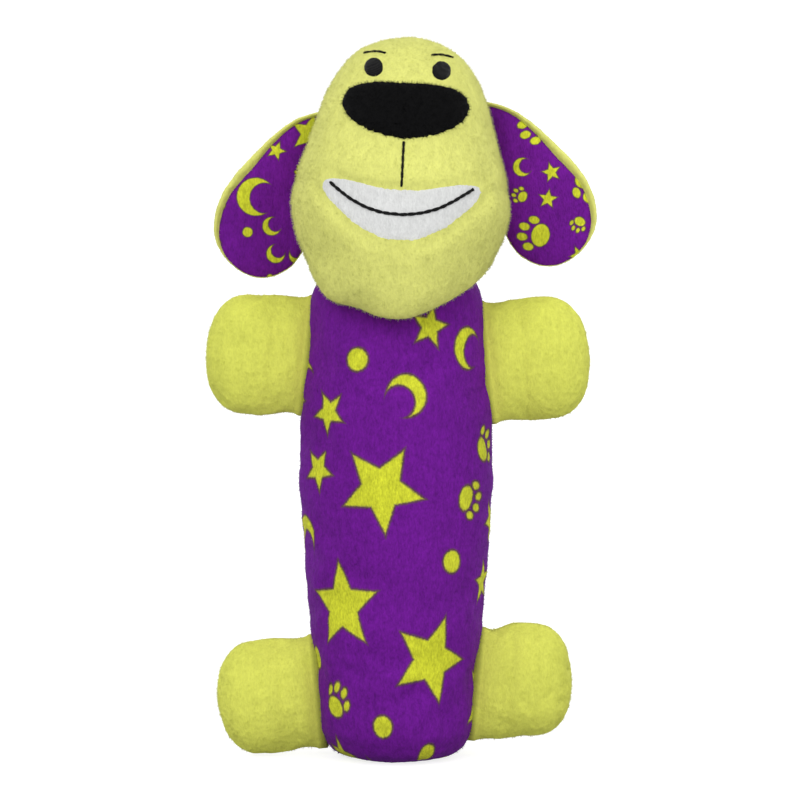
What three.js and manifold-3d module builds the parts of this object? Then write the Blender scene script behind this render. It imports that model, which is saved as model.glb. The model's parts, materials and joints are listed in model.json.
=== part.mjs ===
// A stuffed dog toy that squeaks: a printed plush tube with a round base, four short paws, and a lime head
// with hanging ears. It stands on its base and faces -Y. Millimetres, +Z up. Left is the toy's own left, +X.
import * as THREE from "three";
import { mergeVertices } from "three/addons/utils/BufferGeometryUtils.js";
import Module from "manifold-3d";

// Cloth, thread, and the gaps between pieces that are sewn or packed together
const PLUSH = 1.6;
const SEAM_GAP = 0.5;
const FILL_GAP = 0.4;
const PATCH = 1.2;
const PATCH_GAP = 0.4;
const THREAD = 1.4;
const THREAD_GAP = 0.4;

// Body tube, up to the neck pivot that the head turns and nods on
const NECK_HEIGHT = 203;
const NECK_RADIUS = 31;
const NECK_FLARE = 5;
const NECK_FLARE_DROP = 2;
const NECK_ROLL = 2.6;
const NECK_ROLL_RISE = 3.5;
const NECK_ROLL_GAP = 0.4;
const COLLAR_WIDTH = 72.8;
const COLLAR_DEPTH = 72.8;
const COLLAR_RISE = 2.3;
const SHOULDER_DROP = 31;
const SHOULDER_WIDTH = 76.6;
const SHOULDER_DEPTH = 73.6;
const CHEST_DROP = 73;
const CHEST_WIDTH = 84.8;
const CHEST_DEPTH = 76;
const WAIST_HEIGHT = 68;
const WAIST_WIDTH = 77.6;
const WAIST_DEPTH = 72.6;
const HIP_HEIGHT = 32;
const HIP_WIDTH = 69.6;
const HIP_DEPTH = 70;
const BASE_WIDTH = 66.8;
const BASE_DEPTH = 66.8;
const BASE_EDGE = 15;
const BASE_FLAT = 40;
const BASE_SEAM = 7;

// Hand-sewn thread that closes the stuffing slit in the back, level with the squeaker
const CLOSING_LENGTH = 50;
const CLOSING_WIDTH = 5;
const CLOSING_STITCHES = 6;

// Head, measured from the neck pivot
const HEAD_TOP = 102;
const HEAD_WIDTH = 92;
const MUZZLE_REACH = 62;
const NAPE_REACH = 39;
const CHIN_DROP = 16.5;
const CHIN_CLEARANCE = 2.6;
const HEAD_LEAN = 3;
const HEAD_ROUNDNESS = 2.25;
const SIDE_SEAM = 6;

// Face: nose and eyes are measured down from the crown, the mouth up from the neck pivot
const NOSE_DROP = 32.5;
const NOSE_WIDTH = 53;
const NOSE_HEIGHT = 23;
const EYE_DROP = 14.6;
const EYE_SPACING = 28;
const EYE_WIDTH = 8;
const EYE_HEIGHT = 8.6;
const BROW_GAP = 3.5;
const BROW_LENGTH = 9;
const BROW_ARCH = 1.5;
const MOUTH_WIDTH = 66;
const MOUTH_CORNER_RISE = 43;
const MOUTH_SAG = 6;
const MOUTH_DEPTH = 21;
const MOUTH_SEAM_GAP = 1.5;
const CHEEK_SEAM_DROP = 3;
const CHEEK_SEAM_START = 3;
const SMILE_MARGIN = 4;

// Ears, each measured from its root on the side seam, below the crown
const EAR_LENGTH = 76;
const EAR_WIDTH = 46;
const EAR_LAYER = 2.1;
const EAR_RIM = 3;
const EAR_SWEEP_DEPTH = 5;
const EAR_CUP_DEPTH = 6;
const EAR_GAP = 0.6;
const EARS = {
  left: { side: 1, drop: 20.5, lift: 6 },
  right: { side: -1, drop: 28, lift: -2 },
};

// Limbs, each sewn into the side seam: height of its root, tilt of its tip upwards, and its own size
const LIMB_THICKNESS = 26;
const LIMB_ROOT = 2.4;
const LIMB_TUCK = 6;
const LIMB_BEND = 16;
const LIMB_GAP = 0.9;
const ARM_LEFT_DROP = 35;
const ARM_RIGHT_DROP = 32;
const LIMBS = {
  arm_left: { side: 1, rise: NECK_HEIGHT - ARM_LEFT_DROP, tilt: 5, length: 42.5, height: 52.5 },
  arm_right: { side: -1, rise: NECK_HEIGHT - ARM_RIGHT_DROP, tilt: 0, length: 41.5, height: 51.5 },
  leg_left: { side: 1, rise: 30.5, tilt: 8, length: 39, height: 48.5 },
  leg_right: { side: -1, rise: 27.5, tilt: -6, length: 41, height: 49 },
};

// Squeaker, lying with its pressing face forwards in a pocket of the filling
const SQUEAKER_RISE = 112;
const SQUEAKER_DIAMETER = 44;
const SQUEAKER_DEPTH = 26;
const SQUEAKER_WALL = 1.3;
const SQUEAKER_LIP = 4;
const FACE_CROWN = 3;
const FOLDS = 3;
const FOLD_DEPTH = 3.2;
const FOLD_WALL = 0.9;
const HOLDER_DIAMETER = 12;
const HOLDER_LENGTH = 9;
const REED_WIDTH = 4.4;
const REED_LENGTH = 7.4;
const REED_THICKNESS = 0.4;
const REED_SIDE_GAP = 0.4;
const REED_PLAY = 0.7;
const SQUEAKER_GAP = 0.3;
const POCKET_MOUTH = 18;

const LIME = "#d3d863";
const PRINT = "#6c1e8e";
const BLACK = "#141416";
const WHITE = "#e4e4e2";
const FIBRE = "#f0efe9";
const PLASTIC = "#e9e7dc";
const REED = "#c9473d";

const FAR = 400;
const LEAST_HALF = 0.6;

const wasm = await Module();
wasm.setup();

const material = (color, roughness) => new THREE.MeshStandardMaterial({ color, roughness, metalness: 0 });
const radians = THREE.MathUtils.degToRad;

function solid(geometry) {
  const bare = geometry.clone();
  bare.deleteAttribute("normal");
  bare.deleteAttribute("uv");
  const merged = mergeVertices(bare);
  return new wasm.Manifold(
    new wasm.Mesh({
      numProp: 3,
      vertProperties: merged.getAttribute("position").array,
      triVerts: Uint32Array.from(merged.index.array),
    }),
  );
}

function geometry(made) {
  const { vertProperties, triVerts } = made.getMesh();
  const shape = new THREE.BufferGeometry();
  shape.setAttribute("position", new THREE.BufferAttribute(vertProperties, 3));
  shape.setIndex(new THREE.BufferAttribute(triVerts, 1));
  shape.computeVertexNormals();
  return shape;
}

function piece(name, shape, color, roughness = 0.95) {
  const mesh = new THREE.Mesh(shape.isBufferGeometry ? shape : geometry(shape), material(color, roughness));
  mesh.name = name;
  return mesh;
}

// One section of a swollen form: its height, half-width, and reach towards -Y (front) and +Y (back)
const oval = (at, halfWidth, front, back = front) => ({ at, halfWidth, front, back });
const middleOf = (section) => (section.back - section.front) / 2;
const halfDepthOf = (section) => (section.back + section.front) / 2;
const endOf = (section) => oval(section.at, 0, -middleOf(section), middleOf(section));

// Sections along a smooth curve through a few key ones
function smooth(keys, rows) {
  const curveOf = (size) => new THREE.SplineCurve(keys.map((key) => new THREE.Vector2(key.at, key[size])));
  const [widths, fronts, backs] = ["halfWidth", "front", "back"].map(curveOf);
  return Array.from({ length: rows + 1 }, (_, row) => {
    const share = row / rows;
    const { x: at, y: halfWidth } = widths.getPoint(share);
    return oval(at, halfWidth, fronts.getPoint(share).y, backs.getPoint(share).y);
  });
}

// The outward direction, sideways and upwards, of the wall between two sections
function wallSquare(upper, lower) {
  const sizeOf = (section) => (section.halfWidth + halfDepthOf(section)) / 2;
  return new THREE.Vector2(upper.at - lower.at, sizeOf(lower) - sizeOf(upper)).normalize();
}

// The same sections with every wall moved outwards, keeping corners sharp
function grown(sections, by) {
  const last = sections.length - 1;
  return sections.map((section, i) => {
    if (i === 0 || i === last) {
      return { ...section, at: section.at + (i === 0 ? by : -by) };
    }
    const over = wallSquare(sections[i - 1], section);
    const under = wallSquare(section, sections[i + 1]);
    const move = over.clone().add(under).multiplyScalar(by / (1 + over.dot(under)));
    const { at, halfWidth, front, back } = section;
    return oval(at + move.y, halfWidth + move.x, front + move.x, back + move.x);
  });
}

// The same sections with every wall moved inwards, closed where they grow too small
function inset(sections, by) {
  const wideEnough = (s) => s.halfWidth > LEAST_HALF && halfDepthOf(s) > LEAST_HALF;
  const kept = grown(sections, -by).filter(wideEnough);
  return [endOf(kept[0]), ...kept, endOf(kept.at(-1))];
}

// A closed form skinned over sections listed from top to bottom; roundness 2 makes ellipses, more is squarer.
// A bend, in radians, turns the form in X and Z above its root and is complete at the height bentAt
function swollen(sections, sides, { roundness = 2, bend = 0, bentAt = 1 } = {}) {
  const rows = sections.length - 1;
  const form = new THREE.SphereGeometry(1, sides, rows);
  const places = form.getAttribute("position");
  const grid = form.getAttribute("uv");
  const soften = (value) => Math.sign(value) * Math.abs(value) ** (2 / roundness);
  for (let i = 0; i < places.count; i += 1) {
    const section = sections[Math.round((1 - grid.getY(i)) * rows)];
    const turn = 2 * Math.PI * grid.getX(i);
    const x = -soften(Math.cos(turn)) * section.halfWidth;
    const y = middleOf(section) - soften(Math.sin(turn)) * halfDepthOf(section);
    const angle = bend * THREE.MathUtils.smoothstep(section.at, 0, bentAt);
    const place = new THREE.Vector2(x, section.at).rotateAround(new THREE.Vector2(), angle);
    places.setXYZ(i, place.x, y, place.y);
  }
  return solid(form);
}

// The section of a form at one height
function sectionAt(sections, height) {
  const below = Math.max(1, sections.findIndex((section) => section.at <= height));
  const upper = sections[below - 1];
  const lower = sections[below];
  const share = (upper.at - height) / (upper.at - lower.at);
  const between = (size) => THREE.MathUtils.lerp(upper[size], lower[size], share);
  return oval(height, between("halfWidth"), between("front"), between("back"));
}

const inFrontOf = (made, y) => made.trimByPlane([0, -1, 0], -y);
const behind = (made, y) => made.trimByPlane([0, 1, 0], y);
const above = (made, z) => made.trimByPlane([0, 0, 1], z);
const below = (made, z) => made.trimByPlane([0, 0, -1], -z);

// A prism of an outline drawn in X and Z, running forwards along -Y from a depth
function forwardPrism(shape, from = 0) {
  const prism = new THREE.ExtrudeGeometry(shape, { depth: FAR, bevelEnabled: false, curveSegments: 5 });
  prism.rotateX(Math.PI / 2);
  prism.translate(0, from, 0);
  return solid(prism);
}

function sewnThread(points, steps, closeness = 0.5) {
  const section = new THREE.Shape().absarc(0, 0, THREAD / 2, 0, 2 * Math.PI);
  const extrudePath = new THREE.CatmullRomCurve3(points, false, "catmullrom", closeness);
  return new THREE.ExtrudeGeometry(section, { steps, extrudePath, curveSegments: 3, bevelEnabled: false });
}

// Body

const BODY_SIDES = 24;
const BODY_ROWS = 9;
const ROLL_SIDES = 5;
const ROLL_STEPS = 32;
const NECK_BALL = NECK_RADIUS + NECK_ROLL + 2 * NECK_ROLL_GAP;

function bodySections() {
  const dome = [90, 62, 38, 18, 2.5].map((angle) => {
    const across = NECK_RADIUS * Math.cos(radians(angle));
    return oval(NECK_HEIGHT + NECK_RADIUS * Math.sin(radians(angle)), angle === 90 ? 0 : across, across);
  });
  dome[0] = endOf(dome[0]);
  const side = smooth(
    [
      oval(NECK_HEIGHT - NECK_FLARE_DROP, NECK_RADIUS + NECK_FLARE, NECK_RADIUS + NECK_FLARE / 2),
      oval(NECK_HEIGHT - SHOULDER_DROP, SHOULDER_WIDTH / 2, SHOULDER_DEPTH / 2),
      oval(NECK_HEIGHT - CHEST_DROP, CHEST_WIDTH / 2, CHEST_DEPTH / 2),
      oval(WAIST_HEIGHT, WAIST_WIDTH / 2, WAIST_DEPTH / 2),
      oval(HIP_HEIGHT, HIP_WIDTH / 2, HIP_DEPTH / 2),
      oval(BASE_EDGE, BASE_WIDTH / 2, BASE_DEPTH / 2),
    ],
    BODY_ROWS,
  );
  const flat = BASE_FLAT / 2;
  const edge = [30, 60, 90].map((angle) => {
    const share = Math.cos(radians(angle));
    const reach = (size) => flat + (size / 2 - flat) * share;
    return oval(BASE_EDGE * (1 - Math.sin(radians(angle))), reach(BASE_WIDTH), reach(BASE_DEPTH));
  });
  return [...dome, ...side, ...edge, endOf(edge.at(-1))];
}

const BODY = bodySections();
const bodyGrown = (by) => swollen(grown(BODY, by), BODY_SIDES);

function bodyPieces() {
  const shell = swollen(BODY, BODY_SIDES).subtract(swollen(inset(BODY, PLUSH), BODY_SIDES));
  const tubeTop = NECK_HEIGHT + NECK_ROLL_RISE + NECK_ROLL / 2;
  const tube = below(above(shell, BASE_SEAM + SEAM_GAP / 2), tubeTop);
  const reach = SQUEAKER_DEPTH / 2 + FILL_GAP;
  const pocket = alongY(SQUEAKER_DIAMETER / 2 + FILL_GAP, -reach, reach);
  const mouth = alongY(POCKET_MOUTH / 2, 0, FAR);
  const filling = swollen(inset(BODY, PLUSH + FILL_GAP), BODY_SIDES / 2);
  return [
    piece("body_front_panel", inFrontOf(tube, -SEAM_GAP / 2), PRINT),
    piece("body_back_panel", behind(tube, SEAM_GAP / 2), PRINT),
    piece("base_panel", below(shell, BASE_SEAM - SEAM_GAP / 2), PRINT),
    piece("body_filling", filling.subtract(pocket.add(mouth)), FIBRE),
    piece("closing_thread", closingThread(), PRINT, 0.7),
  ];
}

// A round plug along Y at the squeaker's height
function alongY(radius, from, to) {
  const plug = new THREE.CylinderGeometry(radius, radius, to - from, SQUEAKER_SIDES);
  plug.translate(0, (from + to) / 2, SQUEAKER_RISE);
  return solid(plug);
}

function closingThread() {
  const points = Array.from({ length: 2 * CLOSING_STITCHES + 1 }, (_, i) => {
    const z = SQUEAKER_RISE + CLOSING_LENGTH * (i / (2 * CLOSING_STITCHES) - 0.5);
    const y = sectionAt(BODY, z).back + THREAD_GAP + THREAD / 2;
    return new THREE.Vector3((i % 2 ? 0.5 : -0.5) * CLOSING_WIDTH, y, z);
  });
  return sewnThread(points, 4 * CLOSING_STITCHES, 0.3);
}

function neckRoll() {
  const ballMiddle = (NECK_RADIUS + NECK_BALL) / 2;
  const across = Math.sqrt(ballMiddle ** 2 - NECK_ROLL_RISE ** 2);
  const roll = new THREE.TorusGeometry(across, NECK_ROLL / 2, ROLL_SIDES, ROLL_STEPS);
  roll.translate(0, 0, NECK_ROLL_RISE);
  return piece("neck_seam_roll", roll, PRINT);
}

// Head, built round the neck pivot at its origin

const HEAD_SIDES = 24;
const HEAD_ROWS = 20;
const BALL_ROWS = 14;

function headSections() {
  // Shares of the head's height, half-width, muzzle reach and nape reach, from the crown down to the neck
  const skull = [
    [1, 0, 0.05, -0.075],
    [0.97, 0.33, 0.26, 0.28],
    [0.92, 0.51, 0.42, 0.51],
    [0.85, 0.635, 0.56, 0.69],
    [0.765, 0.72, 0.695, 0.82],
    [0.655, 0.785, 0.82, 0.91],
    [0.53, 0.87, 0.915, 0.975],
    [0.4, 0.97, 0.975, 1],
    [0.295, 1, 1, 0.985],
    [0.195, 0.95, 0.993, 0.965],
    [0.118, 0.885, 0.975, 0.945],
    [0.059, 0.825, 0.955, 0.935],
  ].map(([up, wide, front, back]) =>
    oval(up * HEAD_TOP, (wide * HEAD_WIDTH) / 2, front * MUZZLE_REACH, back * NAPE_REACH),
  );
  const collar = oval(COLLAR_RISE, COLLAR_WIDTH / 2, 0.94 * MUZZLE_REACH, COLLAR_DEPTH / 2);
  // Shares of the chin's drop, half-width and muzzle reach, and of the collar's depth, down to the chin's tip
  const chin = [
    [0.18, 0.66, 0.925, 0.34],
    [0.5, 0.47, 0.89, 0.05],
    [0.79, 0.28, 0.845, -0.3],
    [0.95, 0.13, 0.79, -0.5],
  ].map(([down, wide, front, back]) =>
    oval(-down * CHIN_DROP, (wide * HEAD_WIDTH) / 2, front * MUZZLE_REACH, back * COLLAR_DEPTH),
  );
  const rows = smooth([...skull, collar, ...chin], HEAD_ROWS);
  return [endOf(rows[0]), ...rows.slice(1), endOf({ ...rows.at(-1), at: -CHIN_DROP })];
}

const HEAD = headSections();
const headGrown = (by) => swollen(grown(HEAD, by), HEAD_SIDES, { roundness: HEAD_ROUNDNESS });
const headInset = (by, sides) => swollen(inset(HEAD, by), sides, { roundness: HEAD_ROUNDNESS });
const neckBall = (by) => solid(new THREE.SphereGeometry(NECK_BALL + by, BODY_SIDES, BALL_ROWS));

// The level room below the collar that the body takes, open to the back, so only the chin is left in front
function neckRoom(by) {
  const reach = NECK_RADIUS + NECK_FLARE + CHIN_CLEARANCE + by;
  const column = new THREE.CylinderGeometry(reach, reach, FAR, BODY_SIDES).rotateX(Math.PI / 2);
  const back = new THREE.BoxGeometry(FAR, FAR, FAR).translate(0, FAR / 2 - by, 0);
  const room = solid(column).add(solid(back)).translate([0, 0, COLLAR_RISE + by - FAR / 2]);
  return room.rotate([0, -HEAD_LEAN, 0]);
}

// A point on the face, out from the cover by a distance
function onFace(x, z, out) {
  const section = sectionAt(grown(HEAD, out), z);
  const share = 1 - (Math.abs(x) / section.halfWidth) ** HEAD_ROUNDNESS;
  return new THREE.Vector3(x, middleOf(section) - halfDepthOf(section) * share ** (1 / HEAD_ROUNDNESS), z);
}

// A patch of cloth laid on the face inside an outline
function facePatch(name, outline, color) {
  const cloth = headGrown(PATCH_GAP + PATCH).subtract(headGrown(PATCH_GAP));
  return piece(name, cloth.intersect(forwardPrism(outline)), color);
}

// A line of stitching on the face, through points given by x and z
function faceStitch(name, places, base, color) {
  const out = base + THREAD_GAP + THREAD / 2;
  const points = places.map(([x, z]) => onFace(x, z, out));
  return piece(name, sewnThread(points, 2 * (points.length - 1)), color, 0.6);
}

const mouthLow = MOUTH_CORNER_RISE - MOUTH_SAG - MOUTH_DEPTH;
const SEAM_STEPS = 5;

// What lies above or below the seam between face and chin, which runs under the mouth and out to the cheeks
function besideSeam(drop, end) {
  const corner = MOUTH_WIDTH / 2 + CHEEK_SEAM_START;
  const low = mouthLow - MOUTH_SEAM_GAP - drop;
  const high = MOUTH_CORNER_RISE - CHEEK_SEAM_DROP - drop;
  const outline = new THREE.Shape().moveTo(-FAR, end).lineTo(-FAR, high);
  for (let step = -SEAM_STEPS; step <= SEAM_STEPS; step += 1) {
    const share = step / SEAM_STEPS;
    outline.lineTo(share * corner, low + (high - low) * share ** 2);
  }
  outline.lineTo(FAR, high).lineTo(FAR, end);
  return forwardPrism(outline, SIDE_SEAM);
}

function headCover() {
  const hollow = headInset(PLUSH, HEAD_SIDES).subtract(neckRoom(PLUSH));
  const cover = headGrown(0).subtract(hollow).subtract(neckRoom(0)).subtract(neckBall(0));
  const inside = PLUSH + FILL_GAP;
  const filling = headInset(inside, HEAD_SIDES / 2).subtract(neckRoom(inside)).subtract(neckBall(FILL_GAP));
  const front = inFrontOf(cover, SIDE_SEAM - SEAM_GAP / 2);
  return [
    piece("face_panel", front.intersect(besideSeam(0, FAR)), LIME),
    piece("chin_panel", front.intersect(besideSeam(SEAM_GAP, -FAR)), LIME),
    piece("head_back_panel", behind(cover, SIDE_SEAM + SEAM_GAP / 2), LIME),
    piece("head_filling", filling, FIBRE),
  ];
}

function noseOutline() {
  const middle = HEAD_TOP - NOSE_DROP;
  const half = NOSE_WIDTH / 2;
  const top = middle + NOSE_HEIGHT / 2;
  const low = middle - NOSE_HEIGHT / 2;
  const over = middle + 0.12 * NOSE_HEIGHT;
  const under = middle - 0.25 * NOSE_HEIGHT;
  return new THREE.Shape()
    .moveTo(0, top)
    .bezierCurveTo(0.6 * half, top, half, top, half, over)
    .bezierCurveTo(half, under, 0.35 * half, low, 0, low)
    .bezierCurveTo(-0.35 * half, low, -half, under, -half, over)
    .bezierCurveTo(-half, top, -0.6 * half, top, 0, top);
}

function mouthOutline() {
  const half = MOUTH_WIDTH / 2;
  const corner = MOUTH_CORNER_RISE;
  const upper = corner - 2 * MOUTH_SAG;
  const lower = corner - 2 * (MOUTH_SAG + MOUTH_DEPTH);
  const round = MOUTH_SAG / 2;
  return new THREE.Shape()
    .moveTo(-half, corner)
    .quadraticCurveTo(0, upper, half, corner)
    .quadraticCurveTo(half + round, corner - round, half - round / 2, corner - 3 * round)
    .quadraticCurveTo(0, lower + 3 * round, -half + round / 2, corner - 3 * round)
    .quadraticCurveTo(-half - round, corner - round, -half, corner);
}

function facePieces() {
  const patchFace = PATCH_GAP + PATCH;
  const smileEnd = MOUTH_WIDTH / 2 - SMILE_MARGIN;
  const smileSag = MOUTH_SAG + MOUTH_DEPTH / 3;
  const smile = [-1, -0.66, -0.33, 0, 0.33, 0.66, 1].map((share) => [
    share * smileEnd,
    MOUTH_CORNER_RISE - SMILE_MARGIN - smileSag * (1 - share ** 2),
  ]);
  const underNose = HEAD_TOP - NOSE_DROP - NOSE_HEIGHT / 2 - THREAD;
  const overMouth = MOUTH_CORNER_RISE - MOUTH_SAG + THREAD;
  const philtrum = [0, 0.5, 1].map((share) => [0, THREE.MathUtils.lerp(underNose, overMouth, share)]);
  const pieces = [
    facePatch("nose_patch", noseOutline(), BLACK),
    facePatch("mouth_patch", mouthOutline(), WHITE),
    faceStitch("smile_stitch", smile, patchFace, BLACK),
    faceStitch("philtrum_stitch", philtrum, 0, BLACK),
  ];
  const eyeRise = HEAD_TOP - EYE_DROP;
  for (const [name, side] of [["left", 1], ["right", -1]]) {
    const eye = new THREE.Shape();
    eye.absellipse((side * EYE_SPACING) / 2, eyeRise, EYE_WIDTH / 2, EYE_HEIGHT / 2, 0, 2 * Math.PI);
    const browRise = eyeRise + EYE_HEIGHT / 2 + BROW_GAP;
    const brow = [-0.5, 0, 0.5].map((share) => [
      side * (EYE_SPACING / 2 + share * BROW_LENGTH),
      browRise - BROW_ARCH * 4 * share ** 2,
    ]);
    pieces.push(facePatch(`eye_${name}`, eye, BLACK), faceStitch(`brow_stitch_${name}`, brow, 0, BLACK));
  }
  return pieces;
}

// Ears

const EAR_SIDES = 22;
const EAR_RINGS = 6;

// Outline of a left ear from its root, anticlockwise seen from the front, in shares of its width and length
const EAR_OUTLINE = [
  [0, 0],
  [-0.02, -0.2],
  [0.03, -0.47],
  [0.12, -0.74],
  [0.24, -0.91],
  [0.52, -1],
  [0.78, -0.95],
  [0.97, -0.81],
  [0.99, -0.66],
  [0.89, -0.49],
  [0.63, -0.3],
  [0.4, -0.165],
  [0.17, -0.06],
];
const EAR_MIDDLE = new THREE.Vector3(0.48 * EAR_WIDTH, 0, -0.58 * EAR_LENGTH);

// One cloth layer of a left ear: flat towards the other layer, crowned on its own face
function earLayer(face, rim) {
  const points = EAR_OUTLINE.map(([across, along]) => {
    const place = new THREE.Vector3(across * EAR_WIDTH, 0, along * EAR_LENGTH);
    const inwards = EAR_MIDDLE.clone().sub(place);
    return place.addScaledVector(inwards.normalize(), rim);
  });
  const outline = new THREE.CatmullRomCurve3(points, true, "centripetal");
  const layer = new THREE.SphereGeometry(1, EAR_SIDES, EAR_RINGS);
  const places = layer.getAttribute("position");
  const grid = layer.getAttribute("uv");
  for (let i = 0; i < places.count; i += 1) {
    const angle = Math.PI * (1 - grid.getY(i));
    const place = EAR_MIDDLE.clone().lerp(outline.getPoint(grid.getX(i) % 1), Math.sin(angle));
    const crown = Math.cos(angle) * face > 0 ? EAR_LAYER * Math.abs(Math.cos(angle)) : 0;
    const bend = EAR_SWEEP_DEPTH * (-place.z / EAR_LENGTH) - EAR_CUP_DEPTH * (place.x / EAR_WIDTH) ** 2;
    places.setXYZ(i, place.x, bend - face * (SEAM_GAP / 2 + crown), place.z);
  }
  return solid(layer);
}

function ear(name, { side, drop, lift }) {
  const rise = HEAD_TOP - drop;
  const root = sectionAt(HEAD, rise);
  const group = new THREE.Group();
  group.name = `ear_${name}`;
  group.position.set(side * (root.halfWidth + EAR_GAP), SIDE_SEAM, rise);
  group.rotation.y = -side * radians(lift);
  group.updateMatrix();
  const head = headGrown(EAR_GAP).transform(group.matrix.clone().invert().elements);
  const layers = { outer: [-1, 0, LIME], lining: [1, EAR_RIM, PRINT] };
  for (const [layer, [face, rim, color]] of Object.entries(layers)) {
    const left = earLayer(face, rim);
    const shape = side > 0 ? left : left.mirror([1, 0, 0]);
    group.add(piece(`ear_${name}_${layer}`, shape.subtract(head), color));
  }
  return group;
}

// Limbs, each lofted from its tip down to a thin root that is tucked into the body's side seam

const LIMB_SIDES = 16;
const LIMB_ROWS = 9;

function limbSections({ length, height }) {
  // Shares of the limb's length, height and thickness, from its tip to its root
  const keys = [
    [1, 0, 0],
    [0.975, 0.38, 0.34],
    [0.9, 0.67, 0.6],
    [0.8, 0.85, 0.8],
    [0.6, 0.985, 0.97],
    [0.42, 1, 1],
    [0.24, 0.985, 0.78],
    [0.1, 0.96, 0.4],
  ].map(([along, high, thick]) => oval(along * length, (high * height) / 2, (thick * LIMB_THICKNESS) / 2));
  const root = oval(0, (0.95 * height) / 2, LIMB_ROOT / 2);
  const tucked = { ...root, at: -LIMB_TUCK };
  return [...smooth([...keys, root], LIMB_ROWS), tucked, endOf(tucked)];
}

// How far the body's side leans in, going up past a limb's root
function sideLean({ rise, height }) {
  const upper = sectionAt(BODY, rise + height / 4);
  const lower = sectionAt(BODY, rise - height / 4);
  return Math.atan2(lower.halfWidth - upper.halfWidth, upper.at - lower.at);
}

function limb(name, place) {
  const { side, rise, tilt } = place;
  const lean = sideLean(place);
  const group = new THREE.Group();
  group.name = name;
  group.position.set(side * (sectionAt(BODY, rise).halfWidth + LIMB_GAP), 0, rise);
  group.rotation.y = side * (Math.PI / 2 - lean);
  group.updateMatrix();
  const toLimb = group.matrix.clone().invert().elements;
  const upwards = { bend: side * (radians(tilt) - lean), bentAt: LIMB_BEND };
  const sections = limbSections(place);
  const form = swollen(sections, LIMB_SIDES, upwards);
  const hollow = swollen(inset(sections, PLUSH), LIMB_SIDES, upwards);
  const cover = form.subtract(hollow).subtract(bodyGrown(LIMB_GAP).transform(toLimb));
  const filling = swollen(inset(sections, PLUSH + FILL_GAP), LIMB_SIDES / 2, upwards);
  group.add(
    piece(`${name}_front_panel`, inFrontOf(cover, -SEAM_GAP / 2), LIME),
    piece(`${name}_back_panel`, behind(cover, SEAM_GAP / 2), LIME),
    piece(`${name}_filling`, filling.subtract(bodyGrown(LIMB_GAP + PLUSH).transform(toLimb)), FIBRE),
  );
  return group;
}

// Squeaker, turned round the Y axis through its own middle

const SQUEAKER_SIDES = 20;

function turned(profile) {
  const points = [...profile, profile[0]].map(([radius, y]) => new THREE.Vector2(radius, y));
  return new THREE.LatheGeometry(points, SQUEAKER_SIDES);
}

function squeaker() {
  const group = new THREE.Group();
  group.name = "squeaker";
  group.position.z = SQUEAKER_RISE;
  const radius = SQUEAKER_DIAMETER / 2;
  const back = SQUEAKER_DEPTH / 2;
  const wall = SQUEAKER_WALL;
  const hole = HOLDER_DIAMETER / 2 + SQUEAKER_GAP;
  const seat = radius - wall - SQUEAKER_GAP;
  const plate = turned([
    [hole, back - wall],
    [radius - wall, back - wall],
    [radius - wall, back - SQUEAKER_LIP],
    [radius, back - SQUEAKER_LIP],
    [radius, back],
    [hole, back],
  ]);
  const rim = FACE_CROWN - back;
  const foldsEnd = back - wall - SQUEAKER_GAP;
  const face = turned([
    [0, -back],
    [0.6 * seat, 0.3 * FACE_CROWN - back],
    [seat, rim],
    [seat, rim + wall],
    [0.6 * seat, 0.3 * FACE_CROWN - back + wall],
    [0, wall - back],
  ]);
  group.add(
    piece("squeaker_back_plate", plate, PLASTIC, 0.45),
    piece("squeaker_folds", folds(seat, rim + wall + SQUEAKER_GAP, foldsEnd), PLASTIC, 0.45),
    piece("squeaker_face", face, PLASTIC, 0.45),
    ...reedPieces(back),
  );
  return group;
}

// The folded wall between the face and the back plate
function folds(outer, from, to) {
  const steps = 2 * FOLDS;
  const line = (drop) =>
    Array.from({ length: steps + 1 }, (_, i) => {
      const valley = i % 2 ? FOLD_DEPTH : 0;
      return [outer - drop - valley, THREE.MathUtils.lerp(from, to, i / steps)];
    });
  return turned([...line(0), ...line(FOLD_WALL).reverse()]);
}

function reedPieces(back) {
  const radius = HOLDER_DIAMETER / 2;
  const middle = back - HOLDER_LENGTH / 2;
  const rod = new THREE.CylinderGeometry(radius, radius, HOLDER_LENGTH, SQUEAKER_SIDES);
  const channel = new THREE.BoxGeometry(
    REED_WIDTH + 2 * REED_SIDE_GAP,
    2 * HOLDER_LENGTH,
    REED_THICKNESS + 2 * REED_PLAY,
  );
  const reed = new THREE.BoxGeometry(REED_WIDTH, REED_LENGTH, REED_THICKNESS);
  const holder = piece("reed_holder", solid(rod).subtract(solid(channel)), PLASTIC, 0.45);
  const tongue = piece("reed", reed, REED, 0.4);
  holder.position.y = middle;
  tongue.position.y = middle;
  return [holder, tongue];
}

const head = new THREE.Group();
head.name = "head";
head.position.z = NECK_HEIGHT;
head.rotation.y = radians(HEAD_LEAN);
head.add(...headCover(), ...facePieces());
head.add(...Object.entries(EARS).map(([name, place]) => ear(name, place)));

const neck = new THREE.Group();
neck.name = "neck";
neck.position.z = NECK_HEIGHT;
neck.add(neckRoll());

const toy = new THREE.Group();
toy.name = "squeaky_dog_toy";
toy.add(...bodyPieces(), neck, head, squeaker());
toy.add(...Object.entries(LIMBS).map(([name, place]) => limb(name, place)));

export default toy;
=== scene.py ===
import json
import math

import bpy
import numpy as np
from mathutils import Matrix, Vector, noise
from mathutils.bvhtree import BVHTree


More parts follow.
